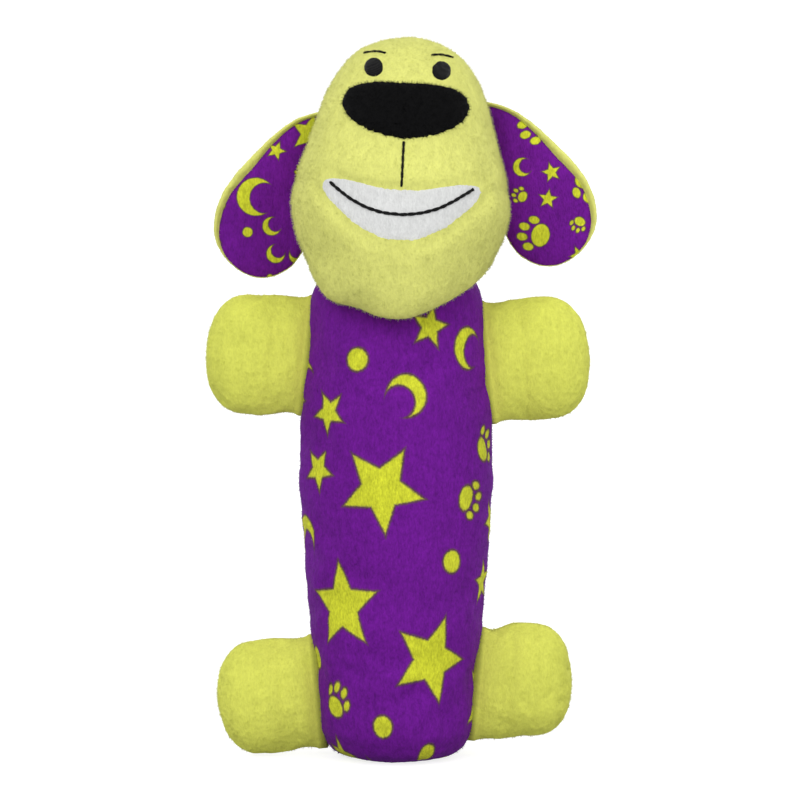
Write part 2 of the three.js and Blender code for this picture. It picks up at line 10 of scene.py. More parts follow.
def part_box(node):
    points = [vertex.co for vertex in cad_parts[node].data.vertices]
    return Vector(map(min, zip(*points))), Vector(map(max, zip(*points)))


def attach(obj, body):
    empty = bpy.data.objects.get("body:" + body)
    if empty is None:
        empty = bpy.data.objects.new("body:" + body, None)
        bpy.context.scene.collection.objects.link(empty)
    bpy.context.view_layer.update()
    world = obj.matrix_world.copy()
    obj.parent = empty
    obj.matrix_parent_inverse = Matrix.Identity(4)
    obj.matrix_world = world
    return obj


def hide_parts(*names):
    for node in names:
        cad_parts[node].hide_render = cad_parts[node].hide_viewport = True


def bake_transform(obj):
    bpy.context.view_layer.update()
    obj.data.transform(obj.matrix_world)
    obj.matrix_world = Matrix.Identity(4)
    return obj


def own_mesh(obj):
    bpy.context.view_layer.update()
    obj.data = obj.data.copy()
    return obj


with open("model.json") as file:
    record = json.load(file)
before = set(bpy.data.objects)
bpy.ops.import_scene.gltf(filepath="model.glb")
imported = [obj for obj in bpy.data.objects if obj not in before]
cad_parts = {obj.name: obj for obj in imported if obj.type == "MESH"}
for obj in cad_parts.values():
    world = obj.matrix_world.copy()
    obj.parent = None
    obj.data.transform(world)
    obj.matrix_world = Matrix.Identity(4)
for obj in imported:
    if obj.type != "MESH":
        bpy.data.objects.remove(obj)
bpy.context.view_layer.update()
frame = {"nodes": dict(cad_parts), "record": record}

bl_info = {
    "name": "Stuffed plush dog toy",
    "version": (1, 0, 0),
    "blender": (4, 5, 0),
    "location": "View3D > Sidebar > Plush toy",
    "description": "Covers, trims and fills the packed solids of a stuffed plush dog toy",
    "category": "Object",
}

MM = 0.001
OUTSIDE = 0.4
SEAM_ROOM = 0.45 * MM
FIBRE_WIDTH = 0.2 * MM
FIBRE_ROOT = 0.25 * MM
FIBRE_TANGLE = 0.4
FIBRE_DROOP = 0.3
CLOSING_STITCHES = 6
CLOSING_REACH = 2.3 * MM
FLOOR_ROOM = 2 * MM
BASE_PRINT_TOP = 2 * MM
CLOTH_SAMPLING = 3
CLOTH_PRESSURE = 4.0
CLOTH_STEPS = 20
HELD_FROM = 0.35
NECK = Vector((0.0, 0.0, 203 * MM))
HEAD_LEAN = math.radians(3)
LIMB_BEND = 16 * MM
LIMBS = ("arm_left", "arm_right", "leg_left", "leg_right")
EARS = ("ear_left", "ear_right")


def linear(red, green, blue):
    """A colour written in screen values of 0 to 255, as Blender's linear colour."""
    def one(value):
        value /= 255
        return value / 12.92 if value <= 0.04045 else ((value + 0.055) / 1.055) ** 2.4
    return one(red), one(green), one(blue)


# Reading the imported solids


def values_of(items, name, width, kind=float):
    """One property of all points, faces or corners of a mesh, as an array."""
    values = np.empty(len(items) * width, dtype=kind)
    items.foreach_get(name, values)
    return values.reshape(-1, width)


def node_points(node):
    """The corners of a CAD node as an array."""
    return values_of(frame["nodes"][node].data.vertices, "co", 3)


def edge_ends(node):
    """Both ends of every edge of a CAD node, as two arrays."""
    points = node_points(node)
    edges = np.array([tuple(e.vertices) for e in frame["nodes"][node].data.edges])
    return points[edges[:, 0]], points[edges[:, 1]]


def front_centre(node):
    """The middle of a CAD node's box, seen from the front, as x and z."""
    low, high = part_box(node)
    return np.array([(low[0] + high[0]) / 2, (low[2] + high[2]) / 2])


def surface_tree(*pieces):
    """A tree of the faces of some objects, and the place in the list of each face's object."""
    points, faces, owner = [], [], []
    for place, piece in enumerate(pieces):
        mesh = piece.data
        start = len(points)
        points += [v.co.copy() for v in mesh.vertices]
        faces += [[start + i for i in f.vertices] for f in mesh.polygons]
        owner += [place] * len(mesh.polygons)
    return BVHTree.FromPolygons(points, faces), owner


def joint_of(name):
    """A joint of the record."""
    return next(j for j in frame["record"]["behaviour"]["joints"] if j["name"] == name)


# Working on grids of points: rows run from foot to top, and sides close on themselves


def blurred(grid, row_spread, side_spread):
    """Gaussian blur of a grid, in samples, that runs on over the pole at each end."""
    rows, sides = grid.shape
    whole = np.vstack([grid, np.roll(grid[::-1], sides // 2, axis=1)])
    row_pass = np.exp(-2 * (np.pi * row_spread * np.fft.fftfreq(2 * rows)) ** 2)
    side_pass = np.exp(-2 * (np.pi * side_spread * np.fft.fftfreq(sides)) ** 2)
    spectrum = np.fft.fft2(whole) * row_pass[:, None] * side_pass[None, :]
    return np.fft.ifft2(spectrum).real[:rows]


def blurred_points(points, spread):
    """Gaussian blur of a grid of points, in samples."""
    return np.stack([blurred(points[..., i], spread, spread) for i in range(3)], axis=2)


def evened(values, rounds):
    """A row of values with each but the ends averaged with its neighbours, some times over."""
    for _ in range(rounds):
        values[1:-1] = (values[:-2] + 2 * values[1:-1] + values[2:]) / 4
    return values


def outer_reach(tree, owner, start, way, over):
    """How far panels reach along a ray, and which one does, passing over the gaps between panels."""
    def cast(aside):
        _, _, face, away = tree.ray_cast(start + aside + way * OUTSIDE, -way, OUTSIDE - MM)
        return (0.0, -1) if face is None else (OUTSIDE - away, owner[face])
    pairs = [min(cast(aside), cast(-aside)) for aside in (over * SEAM_ROOM, way.cross(over) * SEAM_ROOM)]
    return max(cast(Vector()), *pairs)


def wrapped_skin(nodes, foot, top, across, sides, rows, spread, missed):
    """Points on the outside of CAD panels round a spine from foot to top, and each one's panel.

    rows gives the rows of the foot's cap, the sides and the top's cap."""
    axis = (top - foot).normalized()
    across = (across - axis * across.dot(axis)).normalized()
    beside = axis.cross(across)
    tree, owner = surface_tree(*[frame["nodes"][node] for node in nodes])
    quarter = math.pi / 2
    stations = [(foot, -quarter * (1 - (i + 0.5) / rows[0])) for i in range(rows[0])]
    stations += [(foot.lerp(top, i / (rows[1] - 1)), 0.0) for i in range(rows[1])]
    stations += [(top, quarter * (i + 0.5) / rows[2]) for i in range(rows[2])]
    reach = np.full((len(stations), sides), np.nan)
    panel = np.full((len(stations), sides), -1)
    spine = np.zeros((len(stations), sides, 3))
    ways = np.zeros((len(stations), sides, 3))
    for r, (start, lift) in enumerate(stations):
        for s in range(sides):
            turn = 2 * math.pi * (s + 0.5) / sides
            round_way = across * math.cos(turn) + beside * math.sin(turn)
            way = round_way * math.cos(lift) + axis * math.sin(lift)
            spine[r, s], ways[r, s] = start, way
            over = axis * math.cos(lift) - round_way * math.sin(lift)
            reach[r, s], panel[r, s] = outer_reach(tree, owner, start, way, over)
            if panel[r, s] < 0:
                reach[r, s] = missed(start, way)
    for order in (range(len(stations) - 2, -1, -1), range(1, len(stations))):
        beyond = 1 if order.step < 0 else -1
        for r in order:
            empty = np.isnan(reach[r])
            reach[r, empty] = reach[r + beyond, empty]
            unknown = panel[r] < 0
            panel[r, unknown] = panel[r + beyond, unknown]
    reach = blurred(reach, *spread)
    return spine + reach[..., None] * ways, panel


def grid_normals(points):
    """The outward direction at each point of a grid."""
    along = np.gradient(points, axis=0)
    around = np.roll(points, -1, axis=1) - np.roll(points, 1, axis=1)
    normal = np.cross(around, along)
    return normal / (np.linalg.norm(normal, axis=2, keepdims=True) + 1e-12)


def swells(points, size, seed):
    """Smooth noise from -1 to 1 over an array of points, with features of one size."""
    shift = Vector((7.31 * seed, 3.17 * seed, 5.73 * seed))
    values = [noise.noise(Vector(p) + shift) for p in (points / size).reshape(-1, 3)]
    return np.array(values).reshape(points.shape[:-1])


def seam_lines(panel, spread):
    """A mask that is 1 on the line between two panels and fades to 0 beside it."""
    edge = panel != np.roll(panel, 1, axis=1)
    edge[1:] |= panel[1:] != panel[:-1]
    mask = blurred(edge.astype(float), spread, spread)
    return np.clip(mask / mask.max(), 0, 1)


def moved(points, amount):
    """A grid with each point moved along its normal."""
    return points + grid_normals(points) * amount[..., None]


# Making mesh objects


def mesh_object(name, places, faces, resting):
    """A smooth mesh that keeps a resting place for each point, which its material reads."""
    mesh = bpy.data.meshes.new(name)
    mesh.from_pydata(places.tolist(), [], faces)
    mesh.shade_smooth()
    kept = mesh.attributes.new("cloth_place", "FLOAT_VECTOR", "POINT")
    kept.data.foreach_set("vector", resting.ravel())
    piece = bpy.data.objects.new(name, mesh)
    bpy.context.scene.collection.objects.link(piece)
    return piece


def grid_object(name, points, crease_shade=None):
    """A closed mesh from a grid, with a pole at each end and the resting place of each point kept."""
    rows, sides = points.shape[:2]
    ends = [points[0].mean(axis=0), points[-1].mean(axis=0)]
    places = np.vstack([points.reshape(-1, 3), ends])
    index = np.arange(rows * sides).reshape(rows, sides)
    nxt = np.roll(index, -1, axis=1)
    quads = np.stack([index[:-1], nxt[:-1], nxt[1:], index[1:]], axis=-1).reshape(-1, 4)
    foot, top = rows * sides, rows * sides + 1
    poles = [(foot, int(nxt[0, s]), int(index[0, s])) for s in range(sides)]
    poles += [(top, int(index[-1, s]), int(nxt[-1, s])) for s in range(sides)]
    piece = mesh_object(name, places, quads.tolist() + poles, places)
    # The optional mask is painted shade, which the plush material darkens the colour by
    if crease_shade is not None:
        shade = piece.data.attributes.new("crease_shade", "FLOAT", "POINT")
        shade.data.foreach_set("value", np.append(crease_shade.ravel(), [crease_shade[0].mean(), crease_shade[-1].mean()]))
    return piece


def ring_object(name, points):
    """A closed ring from a grid that closes on itself both ways."""
    rows, sides = points.shape[:2]
    index = np.arange(rows * sides).reshape(rows, sides)
    nxt = np.roll(index, -1, axis=1)
    up, up_next = np.roll(index, -1, axis=0), np.roll(nxt, -1, axis=0)
    quads = np.stack([index, nxt, up_next, up], axis=-1).reshape(-1, 4)
    places = points.reshape(-1, 3)
    return mesh_object(name, places, quads.tolist(), places)


def settled(points, held, spare, cap):
    """A cover as cloth: filling presses it out, its seams hold it, and spare cloth gathers beside them."""
    step = CLOTH_SAMPLING
    coarse = points[::step, ::step]
    piece = grid_object("settling_cloth", coarse)
    seams = piece.vertex_groups.new(name="seams")
    seams.add(np.flatnonzero(held[::step, ::step].ravel() > HELD_FROM).tolist(), 1.0, "REPLACE")
    cloth = piece.modifiers.new("cloth", "CLOTH")
    cloth.settings.use_pressure = True
    cloth.settings.uniform_pressure_force = CLOTH_PRESSURE
    cloth.settings.effector_weights.gravity = 0.0
    cloth.settings.vertex_group_mass = "seams"
    cloth.settings.shrink_min = -spare
    scene = bpy.context.scene
    for moment in range(1, CLOTH_STEPS + 1):
        scene.frame_set(moment)
    result = piece.evaluated_get(bpy.context.evaluated_depsgraph_get()).data
    shift = values_of(result.vertices, "co", 3)[:-2].reshape(coarse.shape) - coarse
    bpy.data.objects.remove(piece)
    scene.frame_set(1)
    out = np.sum(shift * grid_normals(coarse), axis=2)
    shift -= np.median(out) * grid_normals(coarse) * (1 - held[::step, ::step, None])
    far = np.linalg.norm(shift, axis=2, keepdims=True)
    shift *= cap * np.tanh(far / cap) / (far + 1e-9)
    row, side = np.arange(points.shape[0]) / step, np.arange(points.shape[1]) / step
    r, s = row.astype(int), side.astype(int)
    part = (row - r)[:, None, None]
    fine = shift[r] * (1 - part) + shift[np.minimum(r + 1, len(coarse) - 1)] * part
    part = (side - s)[None, :, None]
    fine = fine[:, s] * (1 - part) + fine[:, (s + 1) % coarse.shape[1]] * part
    return points + blurred_points(fine, 1.5)


def add_print_map(piece, flat_of):
    """A flat map in metres for the print: flat_of gives each face corner its place on its own panel."""
    mesh = piece.data
    corner_points = values_of(mesh.loops, "vertex_index", 1, np.int32)[:, 0]
    sizes = values_of(mesh.polygons, "loop_total", 1, np.int32)[:, 0]
    corners = values_of(mesh.vertices, "co", 3)[corner_points]
    middle = np.repeat(values_of(mesh.polygons, "center", 3), sizes, axis=0)
    flat = mesh.uv_layers.new(name="PrintMap")
    flat.data.foreach_set("uv", flat_of(corners, middle).ravel())


def thread_object(name, path, radius, stitch, sides=12, plies=3):
    """A sewn thread of twisted plies along a path, which dips between its stitches."""
    path = np.asarray(path)
    step = np.linalg.norm(np.diff(path, axis=0), axis=1)
    length = np.concatenate([[0], np.cumsum(step)])
    count = max(12, int(length[-1] / (0.35 * radius)))
    at = np.linspace(0, length[-1], count)
    line = np.stack([np.interp(at, length, path[:, i]) for i in range(3)], axis=1)
    along = np.gradient(line, axis=0)
    along /= np.linalg.norm(along, axis=1, keepdims=True)
    side = np.cross(along, [0.0, 1.0, 0.0])
    side /= np.linalg.norm(side, axis=1, keepdims=True)
    other = np.cross(along, side)
    turn = circle(sides)
    twist = at / (5 * radius)
    ply = 0.86 + 0.14 * np.abs(np.cos(plies * (turn[None, :] + twist[:, None]) / 2))
    full = 0.62 + 0.38 * np.abs(np.sin(np.pi * at / stitch)) ** 0.6
    spread = radius * ply * full[:, None]
    points = line[:, None] + spread[..., None] * (
        np.cos(turn)[None, :, None] * side[:, None] + np.sin(turn)[None, :, None] * other[:, None])
    return grid_object(name, points)


def node_line(node, axis, count, rounds=6):
    """The middle line of a CAD thread that runs steadily along one axis."""
    points = node_points(node)
    steps = np.linspace(points[:, axis].min(), points[:, axis].max(), count + 1)
    place = np.clip(np.digitize(points[:, axis], steps) - 1, 0, count - 1)
    line = np.array([points[place == i].mean(axis=0) for i in range(count) if (place == i).any()])
    return evened(line, rounds)


def node_outline(node, centre, count):
    """How far a CAD patch reaches from a centre in each direction, seen from the front."""
    start, end = (ends[:, [0, 2]] - centre for ends in edge_ends(node))
    run = end - start
    turn = circle(count)
    way = np.stack([np.cos(turn), np.sin(turn)], axis=1)
    slant = way[:, None, 0] * run[None, :, 1] - way[:, None, 1] * run[None, :, 0]
    slant[np.abs(slant) < 1e-12] = 1e-12
    away = (start[:, 0] * run[:, 1] - start[:, 1] * run[:, 0])[None, :] / slant
    part = (start[None, :, 0] * way[:, None, 1] - start[None, :, 1] * way[:, None, 0]) / slant
    crossing = np.where((part >= 0) & (part <= 1) & (away > 0), away, 0)
    return crossing.max(axis=1)


def circle(count):
    """Even angles round a circle."""
    return 2 * np.pi * np.arange(count) / count


def smooth_round(values, spread):
    """Gaussian blur of values that close on themselves."""
    keep = np.exp(-2 * (np.pi * spread * np.fft.fftfreq(len(values))) ** 2)
    return np.fft.ifft(np.fft.fft(values) * keep).real


def on_front(tree, x, z):
    """The point of a surface that faces the front at x and z, and its normal."""
    hit, normal, _, _ = tree.ray_cast(Vector((x, -OUTSIDE, z)), Vector((0, 1, 0)))
    if hit is None:
        raise RuntimeError(f"no cover in front at x={x:.4f} z={z:.4f}")
    return np.array(hit), np.array(normal)


def sewn_patch(node, tree, lift, ragged, seed, soften=4.0, rings=26, sides=320):
    """A raised patch on a cover, with its outline from a CAD patch and a soft rolled edge."""
    centre = front_centre(node)
    edge = smooth_round(node_outline(node, centre, sides), soften)
    turn = circle(sides)
    rim = np.stack([centre[0] + edge * np.cos(turn), centre[1] + edge * np.sin(turn)], axis=1)
    edge = edge + ragged * np.array([noise.noise(Vector((*p, seed * MM)) / (1.3 * MM)) for p in rim])
    shares = np.sin(np.linspace(0.02, 1, rings) * math.pi / 2)
    top, under = [], []
    for share in shares:
        ring_top, ring_under = [], []
        for s in range(sides):
            x = centre[0] + share * edge[s] * math.cos(turn[s])
            z = centre[1] + share * edge[s] * math.sin(turn[s])
            place, normal = on_front(tree, x, z)
            ring_top.append(place + normal * (lift * math.sqrt(1 - share ** 6) - 0.2 * MM))
            ring_under.append(place - normal * 0.6 * MM)
        top.append(ring_top)
        under.append(ring_under)
    return np.array(under + top[::-1])


def inside_patch(node, points, border):
    """Which points of the front lie under a CAD patch, but for a border."""
    centre = front_centre(node)
    reach = node_outline(node, centre, 180)
    aside, above = points[..., 0] - centre[0], points[..., 2] - centre[1]
    turn = np.mod(np.arctan2(above, aside), 2 * np.pi) / (2 * np.pi) * 180
    edge = np.interp(turn, np.arange(181), np.append(reach, reach[0]))
    return (np.hypot(aside, above) < edge - border) & (points[..., 1] < 0)


def pile_object(name, points, count, length, seed, bare=None, flat_of=None):
    """Short fibres that stand out of a cover, each a closed spike that leans its own way."""
    chance = np.random.default_rng(seed)
    normals = grid_normals(points)
    sides = points.shape[1]
    here, beside, above = points[:-1], np.roll(points, -1, axis=1)[:-1], points[1:]
    share = np.linalg.norm(np.cross(beside - here, above - here), axis=2)
    if bare is not None:
        share = share * ~bare[:-1]
    cell = chance.choice(share.size, count, p=(share / share.sum()).ravel())
    r, s = np.divmod(cell, sides)
    along, across = chance.random((2, count, 1))
    def between(grid):
        low = grid[r, s] * (1 - across) + grid[r, (s + 1) % sides] * across
        high = grid[r + 1, s] * (1 - across) + grid[r + 1, (s + 1) % sides] * across
        return low * (1 - along) + high * along
    root, normal = between(points), between(normals)
    lean = chance.normal(size=(count, 3)) * FIBRE_TANGLE + np.array([0.0, 0.0, -FIBRE_DROOP])
    way = normal + lean
    way /= np.linalg.norm(way, axis=1, keepdims=True)
    tip = root + way * length * chance.uniform(0.6, 1.2, (count, 1))
    one = np.cross(way, chance.normal(size=(count, 3)))
    one *= 0.5 * FIBRE_WIDTH / np.linalg.norm(one, axis=1, keepdims=True)
    two = np.cross(way, one)
    foot = root - normal * FIBRE_ROOT
    base = [foot + one * math.cos(a) + two * math.sin(a) for a in (0.0, 2.0944, 4.1888)]
    places = np.stack(base + [tip], axis=1).reshape(-1, 3)
    spike = np.array([(0, 1, 3), (1, 2, 3), (2, 0, 3), (0, 2, 1)])
    faces = (4 * np.arange(count)[:, None, None] + spike).reshape(-1, 3)
    piece = mesh_object(name, places, faces.tolist(), np.repeat(root, 4, axis=0))
    piece.data.normals_split_custom_set_from_vertices(np.repeat(normal, 4, axis=0).tolist())
    if flat_of:
        flat = piece.data.uv_layers.new(name="PrintMap")
        flat.data.foreach_set("uv", np.repeat(flat_of(root, root), 12, axis=0).ravel())
    return piece


# Shader nodes


class Wiring:
    """Adds shader nodes to a tree and joins them."""

    def __init__(self, tree):
        self.tree = tree

    def node(self, kind, inputs=None, **settings):
        """A new node with its settings, and with each input joined to a socket or set to a value."""
        node = self.tree.nodes.new(kind)
        for name, value in settings.items():
            setattr(node, name, value)
        for key, value in (inputs or {}).items():
            self.join(value, node.inputs[key])
        return node

    def join(self, value, socket):
        """Joins a socket to another, or sets its value."""
        if isinstance(value, bpy.types.NodeSocket):
            self.tree.links.new(value, socket)
        else:
            socket.default_value = value

    def math(self, operation, first, second=0.0, third=0.0):
        """One sum on numbers."""
        inputs = {0: first, 1: second, 2: third}
        return self.node("ShaderNodeMath", inputs, operation=operation).outputs[0]

    def times(self, first, second):
        """Two numbers multiplied."""
        return self.math("MULTIPLY", first, second)

    def plus(self, first, second):
        """Two numbers added."""
        return self.math("ADD", first, second)

    def minus(self, first, second):
        """One number less another."""
        return self.math("SUBTRACT", first, second)

    def vector(self, operation, first, second=(0, 0, 0)):
        """One sum on two vectors."""
        return self.node("ShaderNodeVectorMath", {0: first, 1: second}, operation=operation).outputs[0]

    def length(self, value):
        """The length of a vector."""
        return self.node("ShaderNodeVectorMath", {0: value}, operation="LENGTH").outputs["Value"]

    def parts(self, value):
        """The three numbers of a vector."""
        return self.node("ShaderNodeSeparateXYZ", {0: value}).outputs

    def flat(self, x, y):
        """A vector from two numbers."""
        return self.node("ShaderNodeCombineXYZ", {0: x, 1: y}).outputs[0]

    def fade(self, value, start, end):
        """Goes smoothly from 0 at start to 1 at end."""
        inputs = {"Value": value, "From Min": start, "From Max": end}
        return self.node("ShaderNodeMapRange", inputs, interpolation_type="SMOOTHSTEP").outputs[0]

    def mix(self, share, first, second, blend="MIX"):
        """Two colours mixed by a share."""
        inputs = {0: share, 6: first, 7: second}
        return self.node("ShaderNodeMix", inputs, data_type="RGBA", blend_type=blend).outputs[2]

    def shaded(self, colour, level):
        """A colour made darker or lighter by a number."""
        tone = self.node("ShaderNodeCombineColor", {0: level, 1: level, 2: level}).outputs[0]
        return self.mix(1.0, colour, tone, "MULTIPLY")

    def centred(self, value):
        """A number from 0 to 1, as -0.5 to 0.5."""
        return self.minus(value, 0.5)

    def noise(self, place, scale, detail=2.0):
        """Noise from 0 to 1."""
        inputs = {"Vector": place, "Scale": scale, "Detail": detail}
        return self.node("ShaderNodeTexNoise", inputs).outputs[0]


def new_group(name, inputs, outputs):
    """An empty shader group with its sockets: its tree, wiring, inputs and outputs."""
    tree = bpy.data.node_groups.new(name, "ShaderNodeTree")
    for label, kind in inputs:
        tree.interface.new_socket(label, in_out="INPUT", socket_type=kind)
    for label, kind in outputs:
        tree.interface.new_socket(label, in_out="OUTPUT", socket_type=kind)
    given = tree.nodes.new("NodeGroupInput").outputs
    result = tree.nodes.new("NodeGroupOutput").inputs
    return tree, Wiring(tree), given, result


def pile_group():
    """Short plush pile: grain of the fibre tips, brushed patches, and painted shade where a mask marks the
    seams' hollows.
    """
    tree, w, given, result = new_group(
        "Plush pile",
        [("Colour", "NodeSocketColor"), ("Place", "NodeSocketVector"), ("Crease shade", "NodeSocketFloat"),
         ("Grain", "NodeSocketFloat"), ("Brushed", "NodeSocketFloat")],
        [("Colour", "NodeSocketColor"), ("Height", "NodeSocketFloat")])
    place = given["Place"]
    combed = w.vector("MULTIPLY", place, (1.0, 1.0, 0.45))
    tips = w.noise(combed, 1500.0, 3.0)
    tufts = w.noise(combed, 520.0, 2.0)
    patches = w.noise(place, 34.0, 2.5)
    streaks = w.noise(w.vector("MULTIPLY", place, (1.0, 1.0, 0.2)), 210.0, 2.0)
    grain = w.plus(w.times(tips, 0.6), w.times(tufts, 0.4))
    level = w.math("MULTIPLY_ADD", w.centred(grain), given["Grain"], 1.0)
    nap = w.math("MULTIPLY_ADD", w.centred(streaks), 0.45, w.centred(patches))
    brushed = w.math("MULTIPLY_ADD", nap, given["Brushed"], 1.0)
    shade = w.times(level, brushed)
    # Painted shade: darker by up to 0.45 where the mask of the seams' hollows is 1
    fold = w.minus(1.0, w.times(given["Crease shade"], 0.45))
    shade = w.times(shade, fold)
    w.join(w.shaded(given["Colour"], shade), result["Colour"])
    w.join(grain, result["Height"])
    return tree


def motif_group():
    """The distance to the edge of a star, a moon, a paw print or a dot of unit size."""
    tree, w, given, result = new_group(
        "Print motif",
        [("Place", "NodeSocketVector"), ("Pick", "NodeSocketFloat")],
        [("Distance", "NodeSocketFloat")])
    place, pick = given["Place"], given["Pick"]
    x, y = w.parts(place)[:2]
    away = w.length(place)
    # Star: one tenth of it, folded round
    notch, points = 0.46, 5
    half = math.pi / points
    tip, inner = Vector((1.0, 0.0)), Vector((notch * math.cos(half), notch * math.sin(half)))
    face = Vector((inner.y - tip.y, tip.x - inner.x)).normalized()
    turn = w.math("DIVIDE", w.math("ARCTAN2", y, x), 2 * half)
    fold = w.math("ABSOLUTE", w.minus(turn, w.math("ROUND", turn)))
    angle = w.times(fold, 2 * half)
    across = w.times(w.math("COSINE", angle), face.x)
    beside = w.times(w.math("SINE", angle), face.y)
    star = w.minus(w.times(away, w.plus(across, beside)), face.dot(tip))
    # Moon: a disc less a disc beside it
    bite = w.length(w.vector("SUBTRACT", place, (0.46, 0.0, 0.0)))
    moon = w.math("MAXIMUM", w.minus(away, 0.95), w.minus(0.76, bite))
    # Paw print: a pad and four toes
    pad = w.length(w.vector("DIVIDE", w.vector("SUBTRACT", place, (0, -0.32, 0)), (0.58, 0.46, 1)))
    paw = w.times(w.minus(pad, 1.0), 0.5)
    for toe in ((-0.68, 0.16, 0), (-0.26, 0.56, 0), (0.26, 0.56, 0), (0.68, 0.16, 0)):
        gap = w.length(w.vector("DIVIDE", w.vector("SUBTRACT", place, toe), (0.2, 0.28, 1)))
        paw = w.math("MINIMUM", paw, w.times(w.minus(gap, 1.0), 0.23))
    dot = w.minus(away, 0.52)
    chosen = star
    for limit, form in ((0.36, moon), (0.6, paw), (0.86, dot)):
        later = w.math("GREATER_THAN", pick, limit)
        kept = w.times(chosen, w.minus(1.0, later))
        chosen = w.plus(kept, w.times(form, later))
    w.join(chosen, result["Distance"])
    return tree


def print_group(motif):
    """Scattered large and small motifs with a soft dark edge, over a flat map in metres."""
    tree, w, given, result = new_group(
        "Scattered print",
        [("Flat", "NodeSocketVector"), ("Cell", "NodeSocketFloat"), ("Ground", "NodeSocketColor"),
         ("Motif", "NodeSocketColor"), ("Edge", "NodeSocketColor")],
        [("Colour", "NodeSocketColor")])
    cells = w.vector("DIVIDE", given["Flat"], given["Cell"])

    def scattered(place, size, picks):
        """The distance to the motif of a cell, and the cell's chance."""
        corner = w.vector("FLOOR", place)
        local = w.vector("SUBTRACT", w.vector("SUBTRACT", place, corner), (0.5, 0.5, 0.0))
        chance = w.node("ShaderNodeTexWhiteNoise", {"Vector": corner}, noise_dimensions="2D")
        odds = w.parts(chance.outputs["Color"])
        off_centre = w.vector("SUBTRACT", chance.outputs["Color"], (0.5, 0.5, 0.5))
        local = w.vector("SUBTRACT", local, w.vector("MULTIPLY", off_centre, (0.3, 0.3, 0.0)))
        angle = w.times(odds[1], 2 * math.pi)
        turned = w.node("ShaderNodeVectorRotate", {"Vector": local, "Angle": angle},
                        rotation_type="Z_AXIS").outputs[0]
        unit = w.vector("DIVIDE", turned, (size, size, 1.0))
        pick = w.plus(w.times(odds[2], picks[1] - picks[0]), picks[0])
        form = w.node("ShaderNodeGroup", {"Place": unit, "Pick": pick}, node_tree=motif)
        return form.outputs[0], odds[0]

    large_share, small_share = 0.42, 0.86
    large, odds = scattered(cells, size=0.37, picks=(0.1, 0.8))
    small, small_odds = scattered(w.vector("MULTIPLY", cells, (2, 2, 2)), size=0.36, picks=(0.0, 1.0))
    has_large = w.math("LESS_THAN", odds, large_share)
    has_small = w.times(w.math("LESS_THAN", small_odds, small_share), w.minus(1.0, has_large))
    blot = w.centred(w.noise(given["Flat"], 900.0, 2.0))

    def soft(distance, present, start, end, ragged):
        """How much of a motif's ink is at a point."""
        edge = w.plus(distance, w.times(blot, ragged))
        return w.times(w.fade(edge, start, end), present)

    rim = w.math("MAXIMUM", soft(large, has_large, 0.06, 0.0, 0.05),
                 soft(small, has_small, 0.12, 0.02, 0.1))
    ink = w.math("MAXIMUM", soft(large, has_large, 0.01, -0.05, 0.05),
                 soft(small, has_small, 0.02, -0.1, 0.1))
    edged = w.mix(w.times(rim, 0.8), given["Ground"], given["Edge"])
    w.join(w.mix(ink, edged, given["Motif"]), result["Colour"])
    return tree


def twist_group():
    """Fine strands that wind round a thread or lie side by side in stitching."""
    tree, w, given, result = new_group(
        "Thread strands",
        [("Colour", "NodeSocketColor"), ("Place", "NodeSocketVector")],
        [("Colour", "NodeSocketColor"), ("Height", "NodeSocketFloat")])
    inputs = {"Vector": given["Place"], "Scale": 420.0, "Distortion": 1.4, "Detail": 2.0, "Detail Scale": 2.0}
    wave = w.node("ShaderNodeTexWave", inputs, bands_direction="DIAGONAL").outputs[1]
    fluff = w.noise(given["Place"], 2200.0, 2.0)
    shade = w.plus(w.times(wave, 0.5), w.times(fluff, 0.3))
    level = w.plus(shade, 0.55)
    w.join(w.shaded(given["Colour"], level), result["Colour"])
    w.join(shade, result["Height"])
    return tree


def moulded_group():
    """Moulded plastic: faint flow marks in its colour and roughness, and fine pitting."""
    tree, w, given, result = new_group(
        "Moulded plastic",
        [("Colour", "NodeSocketColor"), ("Place", "NodeSocketVector"), ("Roughness", "NodeSocketFloat")],
        [("Colour", "NodeSocketColor"), ("Roughness", "NodeSocketFloat"), ("Height", "NodeSocketFloat")])
    flow = w.noise(given["Place"], 90.0, 3.0)
    pits = w.noise(given["Place"], 2400.0, 2.0)
    level = w.plus(w.times(flow, 0.16), 0.92)
    w.join(w.shaded(given["Colour"], level), result["Colour"])
    rough = w.plus(given["Roughness"], w.times(w.centred(flow), 0.2))
    w.join(rough, result["Roughness"])
    w.join(pits, result["Height"])
    return tree


def group(name, make, *parts):
    """A shader group, made the first time it is asked for."""
    return bpy.data.node_groups.get(name) or make(*parts)


def new_material(name, sheen=0.0, roughness=0.9):
    """A material with its shader, and the wiring of its nodes."""
    material = bpy.data.materials.get(name)
    if material:
        return material, None, None
    material = bpy.data.materials.new(name)
    material.use_nodes = True
    w = Wiring(material.node_tree)
    shader = material.node_tree.nodes["Principled BSDF"]
    shader.inputs["Roughness"].default_value = roughness
    shader.inputs["Sheen Weight"].default_value = sheen
    shader.inputs["Sheen Roughness"].default_value = 0.45
    shader.inputs["Specular IOR Level"].default_value = 0.1
    return material, w, shader


def add_bump(w, shader, height, strength, distance):
    """Relief from a height."""
    bump = w.node("ShaderNodeBump", {"Height": height, "Strength": strength, "Distance": distance})
    w.join(bump.outputs[0], shader.inputs["Normal"])


